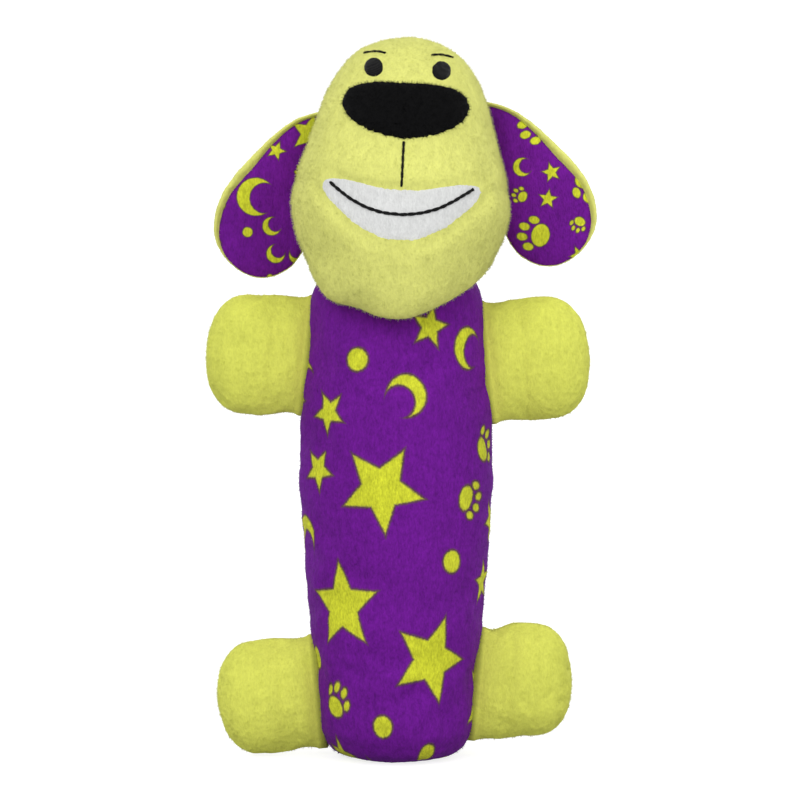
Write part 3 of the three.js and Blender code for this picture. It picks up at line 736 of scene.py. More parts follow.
def pile_nodes(w, shader, colour, grain, brushed, relief):
    """Plush pile over a colour, joined to a shader."""
    place = w.node("ShaderNodeAttribute", attribute_name="cloth_place").outputs["Vector"]
    # The mask of painted shade in the seams' hollows
    crease_shade = w.node("ShaderNodeAttribute", attribute_name="crease_shade").outputs["Fac"]
    inputs = {"Colour": colour, "Place": place, "Crease shade": crease_shade, "Grain": grain, "Brushed": brushed}
    pile = w.node("ShaderNodeGroup", inputs, node_tree=group("Plush pile", pile_group))
    w.join(pile.outputs["Colour"], shader.inputs["Base Color"])
    add_bump(w, shader, pile.outputs["Height"], strength=relief, distance=0.5 * MM)


def plush_material(name, colour, grain=0.5, brushed=0.3, sheen=0.25, relief=0.6):
    """Plain plush of one colour."""
    material, w, shader = new_material(name, sheen)
    if w:
        shader.inputs["Sheen Tint"].default_value = (*[min(1, c * 1.2 + 0.12) for c in colour], 1)
        pile_nodes(w, shader, (*colour, 1), grain, brushed, relief)
    return material


def printed_material(name, settings, cell):
    """Purple plush with scattered motifs."""
    material, w, shader = new_material(name, sheen=0.07)
    if w:
        shader.inputs["Sheen Tint"].default_value = (0.55, 0.35, 0.75, 1)
        motif = group("Print motif", motif_group)
        inputs = {"Flat": w.node("ShaderNodeUVMap", uv_map="PrintMap").outputs[0], "Cell": cell,
                  "Ground": (*settings.ground, 1), "Motif": (*settings.motif, 1),
                  "Edge": (*settings.motif_edge, 1)}
        ink = w.node("ShaderNodeGroup", inputs, node_tree=group("Scattered print", print_group, motif))
        pile_nodes(w, shader, ink.outputs["Colour"], grain=1.5, brushed=0.35, relief=0.6)
    return material


def thread_material(name, colour):
    """Twisted thread or satin stitching."""
    material, w, shader = new_material(name, roughness=0.6)
    if w:
        place = w.node("ShaderNodeAttribute", attribute_name="cloth_place").outputs["Vector"]
        inputs = {"Colour": (*colour, 1), "Place": place}
        strands = w.node("ShaderNodeGroup", inputs, node_tree=group("Thread strands", twist_group))
        w.join(strands.outputs["Colour"], shader.inputs["Base Color"])
        add_bump(w, shader, strands.outputs["Height"], strength=0.7, distance=0.3 * MM)
    return material


def plastic_material(name, colour, roughness):
    """Moulded plastic."""
    material, w, shader = new_material(name, roughness=roughness)
    if w:
        shader.inputs["Specular IOR Level"].default_value = 0.5
        place = w.node("ShaderNodeTexCoord").outputs["Object"]
        inputs = {"Colour": (*colour, 1), "Place": place, "Roughness": roughness}
        moulded = w.node("ShaderNodeGroup", inputs, node_tree=group("Moulded plastic", moulded_group))
        w.join(moulded.outputs["Colour"], shader.inputs["Base Color"])
        w.join(moulded.outputs["Roughness"], shader.inputs["Roughness"])
        add_bump(w, shader, moulded.outputs["Height"], strength=0.25, distance=0.1 * MM)
    return material


def dress(piece, material):
    """Gives a piece its material."""
    piece.data.materials.append(material)
    return piece


def stuffing(name, points, settings, inset, seed):
    """A lumpy mass of fibre under a cover."""
    coarse = points[2:-3:3, ::3]
    inner = moved(coarse, -np.broadcast_to(inset, points.shape[:2])[2:-3:3, ::3])
    lumps = 0.7 * swells(inner, 14 * MM, seed) + 0.4 * swells(inner, 5 * MM, seed + 1)
    inner = moved(inner, (lumps - 0.6) * settings.fill_lump)
    fluff = plush_material("polyester fill", settings.fill, grain=0.35, brushed=0.2, sheen=0.1, relief=1.0)
    return dress(grid_object(name, inner), fluff)


def hollowed(piece, rooms):
    """Cuts closed rooms out of a closed piece."""
    for room in rooms:
        cut = piece.modifiers.new("room", "BOOLEAN")
        cut.operation, cut.object, cut.solver = "DIFFERENCE", room, "EXACT"
    mesh = bpy.data.meshes.new_from_object(piece.evaluated_get(bpy.context.evaluated_depsgraph_get()))
    piece.modifiers.clear()
    piece.data = mesh
    mesh.attributes["cloth_place"].data.foreach_set("vector", values_of(mesh.vertices, "co", 3).ravel())
    for room in rooms:
        bpy.data.objects.remove(room)


def plug(radius, front, back, height):
    """A round plug that lies front to back."""
    turn = circle(64)
    rings = [np.stack([radius * np.sin(turn), np.full(64, y), height + radius * np.cos(turn)], axis=1)
             for y in (front, back)]
    return grid_object("plug", np.array(rings))


# Settings


def colour_setting(name, description, *screen):
    """A colour that a user may change."""
    return bpy.props.FloatVectorProperty(
        name=name, description=description, subtype="COLOR", size=3, min=0, max=1, default=linear(*screen))


def size_setting(name, description, millimetres):
    """A length that a user may change."""
    return bpy.props.FloatProperty(
        name=name, description=description, subtype="DISTANCE", unit="LENGTH", default=millimetres * MM)


class PlushToySettings(bpy.types.PropertyGroup):
    """Colours and sewing sizes of the toy."""

    lime: colour_setting("Lime", "Plush of the head, ears, arms and legs", 214, 218, 96)
    head_lime_painted_sheen: colour_setting("Head lime", "The same plush on the head, painted paler for sheen", 217, 219, 121)
    # Painted sheen: the same lime plush, painted paler where its nap looks lighter in the light
    ground: colour_setting("Purple", "Ground of the printed plush", 105, 24, 140)
    motif: colour_setting("Motif", "Printed motifs", 202, 207, 52)
    motif_edge: colour_setting("Motif edge", "Dark edge where motif and ground run together", 92, 70, 40)
    nose: colour_setting("Nose", "Black plush of the nose", 7, 7, 8)
    mouth: colour_setting("Mouth", "White felt of the mouth", 214, 215, 214)
    thread: colour_setting("Stitching", "Black embroidery thread", 11, 11, 12)
    sewing: colour_setting("Sewing thread", "Thread that closes the back", 84, 24, 112)
    fill: colour_setting("Filling", "Polyester fibre", 238, 237, 232)
    print_cell: size_setting("Print repeat", "Size of the cell that one large motif fills", 52)
    ear_print_cell: size_setting("Ear print repeat", "Size of that cell on the ears", 23)
    seam_depth: size_setting("Seam depth", "How deep a seam is drawn in", 1.1)
    pucker: size_setting("Pucker", "How high the cloth gathers beside a seam", 0.45)
    slack: size_setting("Slack", "Height of the soft unevenness of a stuffed cover", 0.9)
    tuft: size_setting("Tuft", "Height of the tufts of the pile", 0.16)
    fill_lump: size_setting("Lumps", "Height of the lumps of the filling", 1.6)


class PlushToyStage(bpy.types.PropertyGroup):
    """Camera and light."""

    distance: size_setting("Distance", "From the camera to the toy", 1300)
    aim: size_setting("Aim height", "Height of the point the camera looks at", 152)
    lift: bpy.props.FloatProperty(
        name="Elevation", description="How far the camera looks down", subtype="ANGLE",
        default=math.radians(3))
    frame: size_setting("Frame", "Width of the picture at the toy", 339.8)
    paper: colour_setting("Paper", "Floor and backdrop", 250, 250, 250)


# Pieces


def through_ball(start, way, radius):
    """How far along a ray it enters and leaves a ball about the neck."""
    to = NECK - start
    ahead = to.dot(way)
    beside = to.length_squared - ahead ** 2
    if beside >= radius ** 2:
        return math.nan, math.nan
    half = math.sqrt(radius ** 2 - beside)
    return ahead - half, ahead + half


def cover_relief(points, panel, settings, seed, seam_spread=1.6, drawn=1.0, loose=1.0):
    """Seams drawn in, gathers beside them, soft unevenness and tufts: the moved grid and its seam lines,
    which the callers also use as painted shade.

    drawn is the share of the seams' depth, and loose the share of the gathers and unevenness."""
    seam = seam_lines(panel, seam_spread) * drawn
    beside = seam_lines(panel, seam_spread * 4)
    gathers = swells(points, 5.5 * MM, seed) * beside * (1 - seam)
    uneven = 0.7 * swells(points, 26 * MM, seed + 1) + 0.3 * swells(points, 11 * MM, seed + 2)
    tufts = swells(points, 1.7 * MM, seed + 3) + 0.6 * swells(points, 3.6 * MM, seed + 4)
    soft = settings.pucker * gathers + settings.slack * uneven * (1 - beside)
    amount = -settings.seam_depth * seam + loose * soft + settings.tuft * tufts
    return moved(points, amount), seam


def closing_slit(points):
    """A mask that is 1 along the slit in the back that the toy is stuffed through."""
    low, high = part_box("closing_thread")
    aside = points[..., 0] - (low[0] + high[0]) / 2
    to_end = (high[2] - low[2]) / 2 - np.abs(points[..., 2] - (low[2] + high[2]) / 2)
    fade = 2 * MM
    along = np.clip(to_end, 0, fade) / fade
    return np.exp(-(aside / (0.9 * MM)) ** 2) * along * (points[..., 1] > 0)


def closing_path(cover):
    """The path of the thread that closes the slit, on the back of the cover."""
    tree, _ = surface_tree(cover)
    low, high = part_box("closing_thread")
    path = []
    for share in np.linspace(0, 1, 30 * CLOSING_STITCHES + 1):
        rise = low[2] + (high[2] - low[2]) * share
        aside = (low[0] + high[0]) / 2 + CLOSING_REACH * math.sin(share * 2 * math.pi * CLOSING_STITCHES)
        hit, normal, _, _ = tree.ray_cast(Vector((aside, OUTSIDE, rise)), Vector((0, -1, 0)))
        path.append(hit + normal * 0.3 * MM)
    return path


def gathered_ring(node):
    """A round roll of gathered cloth in the place of a CAD ring, as a grid."""
    low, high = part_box(node)
    wide, thick = (high[0] - low[0]) / 2, (high[2] - low[2]) / 2
    turn = circle(192)
    gather = 1 + 0.12 * np.sin(turn * 46) * (0.6 + 0.4 * np.sin(turn * 7))
    rings = []
    for angle in np.linspace(0, 2 * np.pi, 25)[:-1]:
        out = wide - thick * 1.5 + thick * 0.9 * gather * np.cos(angle)
        rise = (low[2] + high[2]) / 2 + thick * gather * np.sin(angle)
        rings.append(np.stack([out * np.cos(turn), out * np.sin(turn), rise], axis=1))
    return np.array(rings)


class PLUSHTOY_OT_body(bpy.types.Operator):
    """Make the printed tube with its base, its filling, the closing thread and the neck roll"""

    bl_idname = "plush_toy.body"
    bl_label = "Body"

    def execute(self, context):
        settings = context.scene.plush_toy
        panels = ("body_front_panel", "body_back_panel", "base_panel")
        dome = 30.5 * MM

        def leaves_dome(start, way):
            """Where a ray leaves the round top of the body, which sits in the head."""
            _, far = through_ball(start, way, dome)
            return far if far > 0 else math.nan

        points, panel = wrapped_skin(
            panels, foot=Vector((0, 0, 40 * MM)), top=Vector((0, 0, 172 * MM)), across=Vector((1, 0, 0)),
            sides=264, rows=(56, 132, 46), spread=(3.5, 4.5), missed=leaves_dome)
        points = settled(points, held=seam_lines(panel, 2.0), spare=0.015, cap=2.0 * MM)
        base_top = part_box("base_panel")[1][2]
        least_drawn, drawn_above = 0.25, 9 * MM
        drawn = np.clip((points[..., 2] - base_top) / drawn_above, least_drawn, 1)
        shaped, seam = cover_relief(points, panel, settings, seed=3, drawn=drawn)
        slit = closing_slit(points)
        shaped = moved(shaped, -0.7 * settings.seam_depth * slit)
        # The seams and the slit are also painted shade in their hollows
        seam = np.maximum(seam, slit)
        shaped[..., 2] = np.maximum(shaped[..., 2], 0.0)
        cover = grid_object("body_cover", shaped, seam)
        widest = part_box("body_front_panel")[1][0]
        back_aside, back_up, base_at, start_at = 0.9, 0.31, 1.3, 2.0
        slant = np.array([[0.91, 0.42], [-0.42, 0.91]])

        def flat_of(corners, middle):
            """Front, back and base are cut from other places of the printed cloth."""
            behind = middle[:, 1] > 0
            ahead = np.where(behind, 1.0, -1.0)
            turn = np.arctan2(corners[:, 0], corners[:, 1] * ahead)
            round_way = turn * widest * 0.95 + back_aside * behind
            flat = np.stack([round_way, corners[:, 2] + back_up * behind], axis=1)
            under = middle[:, 2] < BASE_PRINT_TOP
            flat[under] = corners[under, :2] + base_at
            return flat @ slant + start_at

        add_print_map(cover, flat_of)
        printed = printed_material("printed plush", settings, settings.print_cell)
        dress(cover, printed)
        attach(cover, "torso")
        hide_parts(*panels)
        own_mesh(cover)
        chin, collar = 187 * MM, 199 * MM
        chin_line = np.where(shaped[..., 1] < 0, chin + (shaped[..., 0] / (10 * MM)) ** 2 * MM, collar)
        hidden = (shaped[..., 2] < FLOOR_ROOM) | (shaped[..., 2] > np.minimum(chin_line, collar))
        pile = pile_object(
            "body_pile", shaped, count=26000, length=1.0 * MM, seed=4, bare=hidden, flat_of=flat_of)
        dress(pile, printed)
        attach(pile, "torso")
        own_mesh(pile)

        fibre = stuffing("body_fibre", points, settings, inset=3.4 * MM, seed=11)
        face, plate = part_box("squeaker_face"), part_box("squeaker_back_plate")
        middle = (plate[0][2] + plate[1][2]) / 2
        play = 0.7 * MM
        room = (plate[1][0] - plate[0][0]) / 2 + play
        hollowed(fibre, [plug(room, face[0][1] - play, plate[1][1] + play, middle),
                         plug(radius=9 * MM, front=0.0, back=60 * MM, height=middle)])
        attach(fibre, "torso")
        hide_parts("body_filling")
        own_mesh(fibre)

        stitches = thread_object("closing_stitches", closing_path(cover), radius=0.5 * MM, stitch=40 * MM)
        dress(stitches, thread_material("purple thread", settings.sewing))
        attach(stitches, "torso")
        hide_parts("closing_thread")
        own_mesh(stitches)

        roll = ring_object("neck_roll", gathered_ring("neck_seam_roll"))
        purple = plush_material("purple plush", settings.ground, grain=0.7, brushed=0.35, sheen=0.07)
        dress(roll, purple)
        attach(roll, "torso")
        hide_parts("neck_seam_roll")
        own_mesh(roll)
        return {"FINISHED"}


class PLUSHTOY_OT_head(bpy.types.Operator):
    """Make the head's cover and filling, and the nose, mouth, eyes and stitching on it"""

    bl_idname = "plush_toy.head"
    bl_label = "Head"

    def execute(self, context):
        settings = context.scene.plush_toy
        panels = ("face_panel", "chin_panel", "head_back_panel")
        low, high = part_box("neck_seam_roll")
        socket = (high[0] - low[0]) / 2 + 0.6 * MM
        lean = Matrix.Rotation(HEAD_LEAN, 3, "Y")

        def meets_socket(start, way):
            """Where a ray meets the round top of the neck, which the head sits on."""
            return through_ball(start, way, socket)[0]

        points, panel = wrapped_skin(
            panels, foot=NECK + lean @ Vector((0, -9 * MM, 38.5 * MM)),
            top=NECK + lean @ Vector((0, -8 * MM, 60 * MM)), across=Vector((1, 0, 0)),
            sides=288, rows=(76, 22, 64), spread=(2.6, 3.4), missed=meets_socket)
        # The chin hangs a little lower on one side
        aside, above = (points[..., 0] + 27 * MM) / (11 * MM), (points[..., 2] - 199 * MM) / (10 * MM)
        sag = np.exp(-(aside ** 2 + above ** 2)) * (points[..., 1] < -20 * MM)
        points = points + sag[..., None] * np.array([-1.6, 0, -4.6]) * MM
        from_neck = np.linalg.norm(points - np.array(NECK), axis=2) - socket
        near_neck = np.exp(-(from_neck / (6 * MM)) ** 2)
        points = points + (blurred_points(points, 3) - points) * near_neck[..., None]
        # The mouth lies in a hollow between two lips
        under_mouth = inside_patch("mouth_patch", points, 0.0).astype(float)
        groove = blurred(under_mouth, 3, 3)
        lips = np.clip(blurred(under_mouth, 9, 9) - groove, 0, None)
        points = moved(points, 4 * MM * lips - 1.4 * MM * groove)
        points = settled(points, held=seam_lines(panel, 2.0), spare=0.012, cap=1.4 * MM)
        shaped, seam = cover_relief(points, panel, settings, seed=23, drawn=0.35)
        # The seam lines are also painted shade in their hollows
        cover = grid_object("head_cover", shaped, seam)
        # The head's plush is painted paler as sheen
        lime = plush_material("lime plush painted paler for sheen", settings.head_lime_painted_sheen, sheen=0.45)
        dress(cover, lime)
        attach(cover, "head")
        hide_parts(*panels)
        bare = from_neck < 5 * MM
        borders = {"nose_patch": 0.7, "mouth_patch": 0.7, "eye_left": -0.3, "eye_right": -0.3}
        for patch, border in borders.items():
            bare |= inside_patch(patch, shaped, border * MM)
        pile = pile_object("head_pile", shaped, count=26000, length=1.3 * MM, seed=24, bare=bare)
        dress(pile, lime)
        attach(pile, "head")
        inset = 3.4 * MM + 0.5 * np.clip(8 * MM - from_neck, 0, 8 * MM)
        fibre = stuffing("head_fibre", points, settings, inset, seed=31)
        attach(fibre, "head")
        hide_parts("head_filling")

        tree, _ = surface_tree(cover)
        black = thread_material("black thread", settings.thread)
        muzzle = sewn_patch("nose_patch", tree, lift=2.4 * MM, ragged=0.7 * MM, seed=5)
        nose = grid_object("nose_plush", muzzle)
        dark = plush_material("black plush", settings.nose, grain=0.9, brushed=0.4, sheen=0.02, relief=0.8)
        dress(nose, dark)
        upper = muzzle[len(muzzle) // 2:]
        nap = pile_object("nose_pile", upper, count=3500, length=1.4 * MM, seed=25)
        dress(nap, dark)
        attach(nap, "head")
        lip = sewn_patch("mouth_patch", tree, lift=0.6 * MM, ragged=0.45 * MM, seed=6)
        mouth = grid_object("mouth_felt", lip)
        felt = plush_material("white felt", settings.mouth, grain=0.6, brushed=0.12, sheen=0.1, relief=0.9)
        dress(mouth, felt)
        for piece, node in ((nose, "nose_patch"), (mouth, "mouth_patch")):
            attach(piece, "head")
            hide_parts(node)
        for side in ("left", "right"):
            satin = sewn_patch(f"eye_{side}", tree, lift=1.1 * MM, ragged=0.2 * MM, seed=7,
                               soften=7.0, rings=18, sides=128)
            eye = grid_object(f"eye_stitch_{side}", satin)
            dress(eye, black)
            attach(eye, "head")
            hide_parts(f"eye_{side}")
        carried, _ = surface_tree(cover, mouth)
        # Node, the axis it runs along, points, and radius in millimetres
        lines = (("smile_stitch", 0, 30, 0.75), ("philtrum_stitch", 2, 10, 0.6),
                 ("brow_stitch_left", 0, 8, 0.6), ("brow_stitch_right", 0, 8, 0.6))
        for node, axis, count, radius in lines:
            path = []
            for place in node_line(node, axis, count):
                hit, normal = on_front(carried, place[0], place[2])
                path.append(hit + normal * 0.35 * radius * MM)
            thread = thread_object(f"{node}_thread", path, radius * MM, stitch=3.4 * MM)
            dress(thread, black)
            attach(thread, "head")
            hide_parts(node)
        return {"FINISHED"}


class PLUSHTOY_OT_ears(bpy.types.Operator):
    """Make each ear: a lime layer that rolls over the rim, and a printed lining"""

    bl_idname = "plush_toy.ears"
    bl_label = "Ears"

    def execute(self, context):
        settings = context.scene.plush_toy
        # The ears' plush is painted paler as sheen, like the head's
        lime = plush_material("lime plush painted paler for sheen", settings.head_lime_painted_sheen, sheen=0.45)
        printed = printed_material("ear print", settings, settings.ear_print_cell)
        sides = 200
        turn = circle(sides)
        for number, ear in enumerate(EARS):
            outer, lining = f"{ear}_outer", f"{ear}_lining"
            root = Vector(joint_of(f"{ear}_flop")["pos_m"])
            outward = 1.0 if root.x > 0 else -1.0
            centre = front_centre(outer)
            edge = smooth_round(node_outline(outer, centre, sides), 2.0)
            bow = bowed_sheet(np.vstack([node_points(outer), node_points(lining)]), centre)
            # The rim rolls over on the upper outer edge
            upper = np.clip((np.cos(turn) * outward * 0.75 + np.sin(turn) * 0.66 + 0.1) / 0.4, 0, 1)
            upper = smooth_round(upper, 5.0)
            rim = (0.3 + 3.4 * upper) * MM
            half, sway, steps = 2.6 * MM, 0.6 * MM, 7

            def layer(share, inset, depth):
                """One ring of an ear: a share of the way out, less an inset, at a depth from the middle."""
                out = share * (edge - inset)
                x, z = centre[0] + out * np.cos(turn), centre[1] + out * np.sin(turn)
                return np.stack([x, bow(x, z) + depth, z], axis=1)

            shares = np.sin(np.linspace(0.02, 1, 30) * np.pi / 2)
            inside = [layer(s, rim + 0.8 * MM, 0.3 * MM) for s in shares]
            raised = half * 0.75 * (0.2 + 0.8 * upper)
            roll = [layer(1.0, rim * (1 - i / steps),
                          -raised * math.sin(i / steps * math.pi * 0.75) - 0.2 * MM)
                    for i in range(steps + 1)]
            back = [layer(s, 0.0, half * math.sqrt(max(0.0, 1 - s ** 5)) + 0.1 * MM) for s in shares[::-1]]
            cloth = np.array(inside + roll + back)[::-1]
            soft = 0.8 * swells(cloth, 13 * MM, 41 + number) + 0.25 * swells(cloth, 4 * MM, 43 + number)
            cloth[..., 1] += soft * sway
            cloth = sewn_in(cloth, root)
            tufts = swells(cloth, 1.8 * MM, 47) * settings.tuft
            piece = grid_object(f"{ear}_plush", moved(cloth, tufts))
            dress(piece, lime)
            lined = np.repeat(np.arange(len(cloth))[::-1] < len(inside), sides).reshape(len(cloth), sides)
            pile = pile_object(
                f"{ear}_pile", cloth, count=3200, length=0.9 * MM, seed=51 + number, bare=lined)
            dress(pile, lime)
            under = [layer(s, rim, 0.1 * MM) for s in shares]
            face = [layer(s, rim, -0.8 * half * math.sqrt(max(0.0, 1 - s ** 6)) + 0.05 * MM)
                    for s in shares[::-1]]
            sheet = np.array(under + face)
            sheet[..., 1] += 0.8 * swells(sheet, 13 * MM, 41 + number) * sway
            sheet = sewn_in(sheet, root)
            # Painted shade on the lining, darker towards the head
            shade_near_head = np.clip((sheet[..., 0] * outward - abs(root.x) + 2 * MM) / (-16 * MM) + 1, 0, 1)
            inner = grid_object(f"{ear}_print", sheet, shade_near_head)
            add_print_map(inner, lambda corners, middle: corners[:, [0, 2]] + 4.0 + 0.37 * number)
            dress(inner, printed)
            for part, node in ((piece, outer), (inner, lining)):
                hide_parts(node)
            for part in (piece, inner, pile):
                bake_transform(part)
        return {"FINISHED"}


def sewn_in(points, root):
    """An ear with its root drawn sideways into the head's seam."""
    near = np.exp(-np.sum((points - np.array(root)) ** 2, axis=-1) / (10 * MM) ** 2)
    inward = np.array([-8.0 if root.x > 0 else 8.0, 0.0, -2.0]) * MM
    return points + near[..., None] * inward


def bowed_sheet(points, centre):
    """A smooth surface y(x, z) through points that lie near a bowed sheet."""
    def terms(x, z):
        u, v = (x - centre[0]) / (30 * MM), (z - centre[1]) / (30 * MM)
        cubes = [u ** 3, u * u * v, u * v * v, v ** 3]
        return np.stack([np.ones_like(u), u, v, u * u, u * v, v * v, *cubes], axis=-1)
    fit = np.linalg.lstsq(terms(points[:, 0], points[:, 2]), points[:, 1], rcond=None)[0]
    return lambda x, z: terms(x, z) @ fit


def limb_skin(limb, panels, sides=210, rows=84):
    """A limb's root, the way it starts out, and its cover as a grid that bends from the root to the tip."""
    straight, tip_depth, sunk = 8 * MM, 3 * MM, 1.6 * MM
    joint = joint_of(f"{limb}_fold")
    root, hinge = np.array(joint["pos_m"]), np.array(joint["axis"])
    starts, ends = (np.vstack(both) for both in zip(*[edge_ends(p) for p in panels]))
    out = np.cross(hinge, [0.0, 1.0, 0.0])
    out *= np.sign(out[0] * root[0]) / np.linalg.norm(out)
    far = (starts - root) @ out
    tip = starts[far > far.max() - tip_depth].mean(axis=0)
    tip[1] = 0.0
    knee = root + out * straight
    onward = (tip - knee) / np.linalg.norm(tip - knee)
    length = straight + ((starts - knee) @ onward).max()
    # Rows lie closer together towards the tip
    u = np.linspace(0, 1, rows + 1)[:-1]
    at = length * (1 - (1 - u) ** 1.8)
    spine, ups, spans = [], [], []
    place, last = root.copy(), 0.0
    for t in at:
        share = min(1.0, t / LIMB_BEND)
        share = share * share * (3 - 2 * share)
        way = out * (1 - share) + onward * share
        way /= np.linalg.norm(way)
        place = place + way * (t - last)
        last = t
        up = np.cross(way, [0.0, 1.0, 0.0])
        up *= np.sign(up[2])
        # How far the panels reach up, down, back and forward at this row
        plane = place + way * max(0.0, sunk - t)
        near, away = (starts - plane) @ way, (ends - plane) @ way
        crossing = near * away < 0
        part = (near / (near - away + 1e-15))[crossing, None]
        cut = starts[crossing] + part * (ends - starts)[crossing] - plane
        high, deep = cut @ up, cut[:, 1]
        spans.append((high.max(), -high.min(), deep.max(), -deep.min()))
        spine.append(place)
        ups.append(up)
    spans = evened(np.array(spans), 14)
    # A full root, a round tip, and cloth that flares where it meets the body
    plump = np.sqrt(np.clip(1 - (1 - np.clip((at + 6 * MM) / (14 * MM), 0, 1)) ** 2, 0, 1))
    spans[:, 2:] = np.maximum(spans[:, 2:], 0.9 * spans[:, 2:].max() * plump[:, None])
    half = np.searchsorted(at, length / 2)
    beyond = np.clip((at - at[half]) / (length - at[half]), 0, 1)[half:, None]
    spans[half:] = spans[half] * np.sqrt(1 - beyond ** np.array([3.0, 3.0, 2.4, 2.4]))
    flare = 1.8 * MM * np.exp(-at / (2.2 * MM))
    spans[:, :2] += flare[:, None]
    # Rings with points at even steps
    turn = np.linspace(0, 2 * np.pi, 721)
    points = np.zeros((rows, sides, 3))
    panel = np.zeros((rows, sides), dtype=int)
    for r in range(rows):
        above, below, behind, ahead = spans[r]
        high = np.cos(turn) * np.where(np.cos(turn) > 0, above, below)
        deep = np.sin(turn) * np.where(np.sin(turn) > 0, behind, ahead)
        run = np.concatenate([[0], np.cumsum(np.hypot(np.diff(high), np.diff(deep)))])
        even = run[-1] * (np.arange(sides) + 0.5) / sides
        high, deep = np.interp(even, run, high), np.interp(even, run, deep)
        points[r] = spine[r] + high[:, None] * ups[r] + deep[:, None] * np.array([0.0, 1.0, 0.0])
        panel[r] = deep > 0
    if root[0] > 0:
        points, panel = points[:, ::-1], panel[:, ::-1]
    return Vector(root), Vector(out), points, panel


class PLUSHTOY_OT_limbs(bpy.types.Operator):
    """Make the arms and legs, each a stuffed pillow of two panels sewn into the side seam"""

    bl_idname = "plush_toy.limbs"
    bl_label = "Arms and legs"

    def execute(self, context):
        settings = context.scene.plush_toy
        lime = plush_material("lime plush", settings.lime, sheen=0.4)
        for number, limb in enumerate(LIMBS):
            panels = (f"{limb}_front_panel", f"{limb}_back_panel")
            root, out, points, panel = limb_skin(limb, panels)
            held = seam_lines(panel, 2.0)
            held[:3] = held[-6:] = 1.0
            free = np.clip(np.minimum(np.arange(len(points)), np.arange(len(points))[::-1]) / 10, 0, 1)
            pressed = settled(points, held, spare=0.012, cap=0.8 * MM)
            points = points + (pressed - points) * free[:, None, None]
            shaped, seam = cover_relief(
                points, panel, settings, seed=61 + 7 * number, seam_spread=1.3, loose=0.55)
            sunk = [shaped[0] - np.array(out) * 3.6 * MM, shaped[0] - np.array(out) * 1.8 * MM]
            shaped = np.concatenate([np.array(sunk), shaped])
            # Painted shade: the two sunk rows at the root are fully shaded, and the seam lines shaded in
            # their hollows
            seam = np.concatenate([np.ones((2, seam.shape[1])), seam])
            cover = grid_object(f"{limb}_cover", shaped, seam)
            dress(cover, lime)
            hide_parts(*panels)
            fibre = stuffing(f"{limb}_fibre", points, settings, inset=2.6 * MM, seed=71 + number)
            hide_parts(f"{limb}_filling")
            by_floor = shaped[4:, :, 2] < FLOOR_ROOM
            pile = pile_object(
                f"{limb}_pile", shaped[4:], count=5200, length=1.1 * MM, seed=65 + number, bare=by_floor)
            dress(pile, lime)
            for piece in (cover, fibre, pile):
                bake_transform(piece)
        return {"FINISHED"}


class PLUSHTOY_OT_squeaker(bpy.types.Operator):
    """Give the squeaker its plastics, and make its folded wall"""

    bl_idname = "plush_toy.squeaker"
    bl_label = "Squeaker"

    def execute(self, context):
        colours = {m["slot"]: m["base_color"] for m in frame["record"]["materials"]}
        shell = plastic_material("squeaker plastic", colours["squeaker_plastic"], 0.45)
        leaf = plastic_material("reed plastic", colours["reed_plastic"], 0.3)
        plastics = {"squeaker_back_plate": shell, "squeaker_face": shell, "reed_holder": shell, "reed": leaf}
        for node, material in plastics.items():
            part = frame["nodes"][node]
            part.data.materials.clear()
            part.data.materials.append(material)
        low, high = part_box("squeaker_folds")
        axis_height, wide = (low[2] + high[2]) / 2, (high[0] - low[0]) / 2
        folds, wall, deep = 3, 1.0 * MM, 3.2 * MM
        depth = np.linspace(low[1], high[1], 61)
        wave = (1 - np.cos(2 * np.pi * folds * (depth - low[1]) / (high[1] - low[1]))) / 2
        outside = wide - deep * wave
        profile = list(zip(outside, depth)) + list(zip(outside[::-1] - wall, depth[::-1]))
        turn = circle(96)
        rings = [np.stack([r * np.cos(turn), np.full(96, y), axis_height + r * np.sin(turn)], axis=1)
                 for r, y in profile]
        bellows = ring_object("squeaker_bellows", np.array(rings)[::-1])
        dress(bellows, shell)
        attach(bellows, "torso")
        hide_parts("squeaker_folds")
        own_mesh(bellows)
        return {"FINISHED"}


def seen_ray(w):
    """1 for the rays that show the background: straight, mirrored and through glass."""
    rays = w.node("ShaderNodeLightPath").outputs
    return w.math("MAXIMUM", w.math("MAXIMUM", rays["Is Camera Ray"], rays["Is Glossy Ray"]),
                  rays["Is Transmission Ray"])


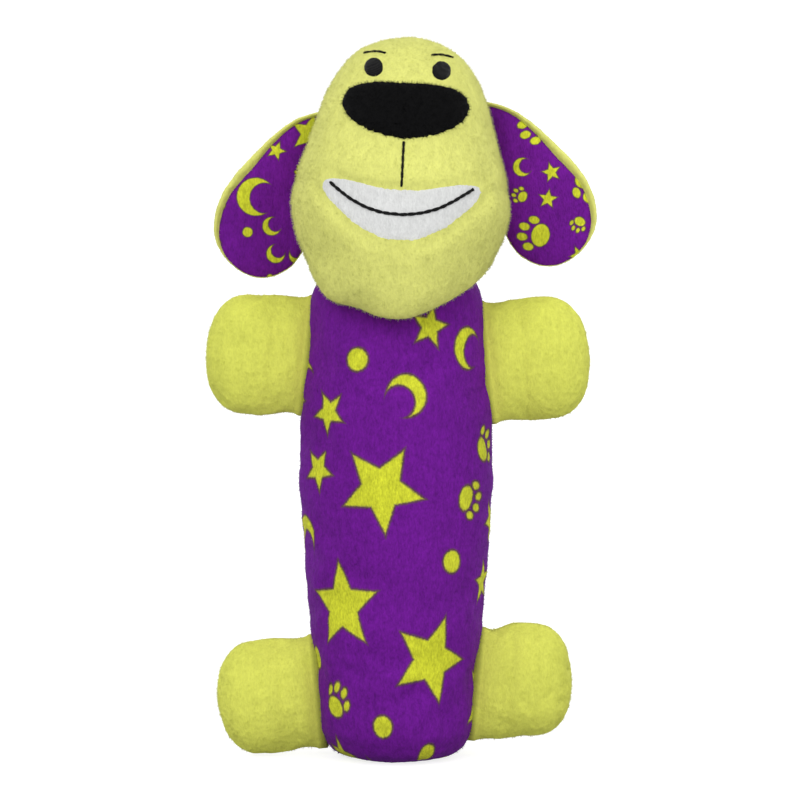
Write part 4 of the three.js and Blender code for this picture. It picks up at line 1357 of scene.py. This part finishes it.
class PLUSHTOY_OT_stage(bpy.types.Operator):
    """Set the camera, the lights and a plain pale sweep of paper"""

    bl_idname = "plush_toy.stage"
    bl_label = "Stage"

    def execute(self, context):
        scene, stage = context.scene, context.scene.plush_toy_stage
        lit_at, room_light, paper_tone, paper_glow = Vector((0, 0, 0.14)), 0.8, 0.45, 0.83
        scene.view_settings.view_transform = "Standard"
        camera = bpy.data.objects.new("camera", bpy.data.cameras.new("camera"))
        camera.data.sensor_width = 36
        camera.data.lens = camera.data.sensor_width * stage.distance / stage.frame
        camera.data.shift_x = 0.0044
        aim = Vector((0, 0, stage.aim))
        camera.location = aim + stage.distance * Vector((0, -math.cos(stage.lift), math.sin(stage.lift)))
        camera.rotation_euler = (aim - camera.location).to_track_quat("-Z", "Y").to_euler()
        scene.collection.objects.link(camera)
        scene.camera = camera

        # Name, place, size and power of each lamp
        lamps = (("key", (-0.6, -1.7, 0.95), 1.1, 12.5), ("fill", (1.0, -1.5, 0.6), 1.2, 7.5),
                 ("back left", (-1.1, 1.5, 0.9), 1.2, 9.0), ("back right", (1.1, 1.5, 0.9), 1.2, 9.0))
        for name, place, size, power in lamps:
            light = bpy.data.lights.new(name, "AREA")
            light.shape, light.size, light.energy = "DISK", size, power
            lamp = bpy.data.objects.new(name, light)
            lamp.location = place
            lamp.rotation_euler = (lit_at - Vector(place)).to_track_quat("-Z", "Y").to_euler()
            scene.collection.objects.link(lamp)
        world = scene.world or bpy.data.worlds.new("studio")
        scene.world = world
        world.use_nodes = True
        room = world.node_tree.nodes["Background"]
        room.inputs["Color"].default_value = (1, 1, 1, 1)
        w = Wiring(world.node_tree)
        w.join(w.math("MAXIMUM", seen_ray(w), room_light), room.inputs["Strength"])

        near, far, curve, top, half_width, below = -3.0, 1.2, 0.8, 3.0, 4.0, 0.2 * MM
        profile = [(near, 0.0), (far, 0.0)]
        profile += [(far + curve * math.sin(a), curve - curve * math.cos(a))
                    for a in np.linspace(0.1, math.pi / 2, 12)]
        profile += [(far + curve, top)]
        verts = [(x, y, z - below) for y, z in profile for x in (-half_width, half_width)]
        faces = [(2 * i, 2 * i + 1, 2 * i + 3, 2 * i + 2) for i in range(len(profile) - 1)]
        mesh = bpy.data.meshes.new("paper_sweep")
        mesh.from_pydata(verts, [], faces)
        mesh.shade_smooth()
        paper = bpy.data.objects.new("paper_sweep", mesh)
        scene.collection.objects.link(paper)
        material = bpy.data.materials.new("paper")
        material.use_nodes = True
        w = Wiring(material.node_tree)
        material.node_tree.nodes.clear()
        matt = w.node("ShaderNodeBsdfDiffuse", {"Color": (*[c * paper_tone for c in stage.paper], 1)})
        strength = w.times(seen_ray(w), paper_glow)
        glow = w.node("ShaderNodeEmission", {"Color": (*stage.paper, 1), "Strength": strength})
        both = w.node("ShaderNodeAddShader", {0: matt.outputs[0], 1: glow.outputs[0]})
        w.node("ShaderNodeOutputMaterial", {"Surface": both.outputs[0]})
        mesh.materials.append(material)
        return {"FINISHED"}


OPERATORS = (PLUSHTOY_OT_body, PLUSHTOY_OT_head, PLUSHTOY_OT_ears, PLUSHTOY_OT_limbs, PLUSHTOY_OT_squeaker,
             PLUSHTOY_OT_stage)


class PLUSHTOY_PT_sidebar(bpy.types.Panel):
    """Settings of the toy and the buttons that make its pieces"""

    bl_idname = "PLUSHTOY_PT_sidebar"
    bl_label = "Plush toy"
    bl_space_type = "VIEW_3D"
    bl_region_type = "UI"
    bl_category = "Plush toy"

    def draw(self, context):
        for settings in (context.scene.plush_toy, context.scene.plush_toy_stage):
            column = self.layout.column()
            for name in settings.__annotations__:
                column.prop(settings, name)
        for operator in OPERATORS:
            self.layout.operator(operator.bl_idname)


CLASSES = (PlushToySettings, PlushToyStage, *OPERATORS, PLUSHTOY_PT_sidebar)


def register():
    """Makes the settings, operators and panel known to Blender."""
    for item in CLASSES:
        bpy.utils.register_class(item)
    bpy.types.Scene.plush_toy = bpy.props.PointerProperty(type=PlushToySettings)
    bpy.types.Scene.plush_toy_stage = bpy.props.PointerProperty(type=PlushToyStage)


def unregister():
    """Takes them away again."""
    del bpy.types.Scene.plush_toy_stage
    del bpy.types.Scene.plush_toy
    for item in reversed(CLASSES):
        bpy.utils.unregister_class(item)


def main():
    """Makes the stage and every piece."""
    register()
    bpy.ops.plush_toy.stage()
    bpy.ops.plush_toy.body()
    bpy.ops.plush_toy.head()
    bpy.ops.plush_toy.ears()
    bpy.ops.plush_toy.limbs()
    bpy.ops.plush_toy.squeaker()


if __name__ == "__main__":
    main()
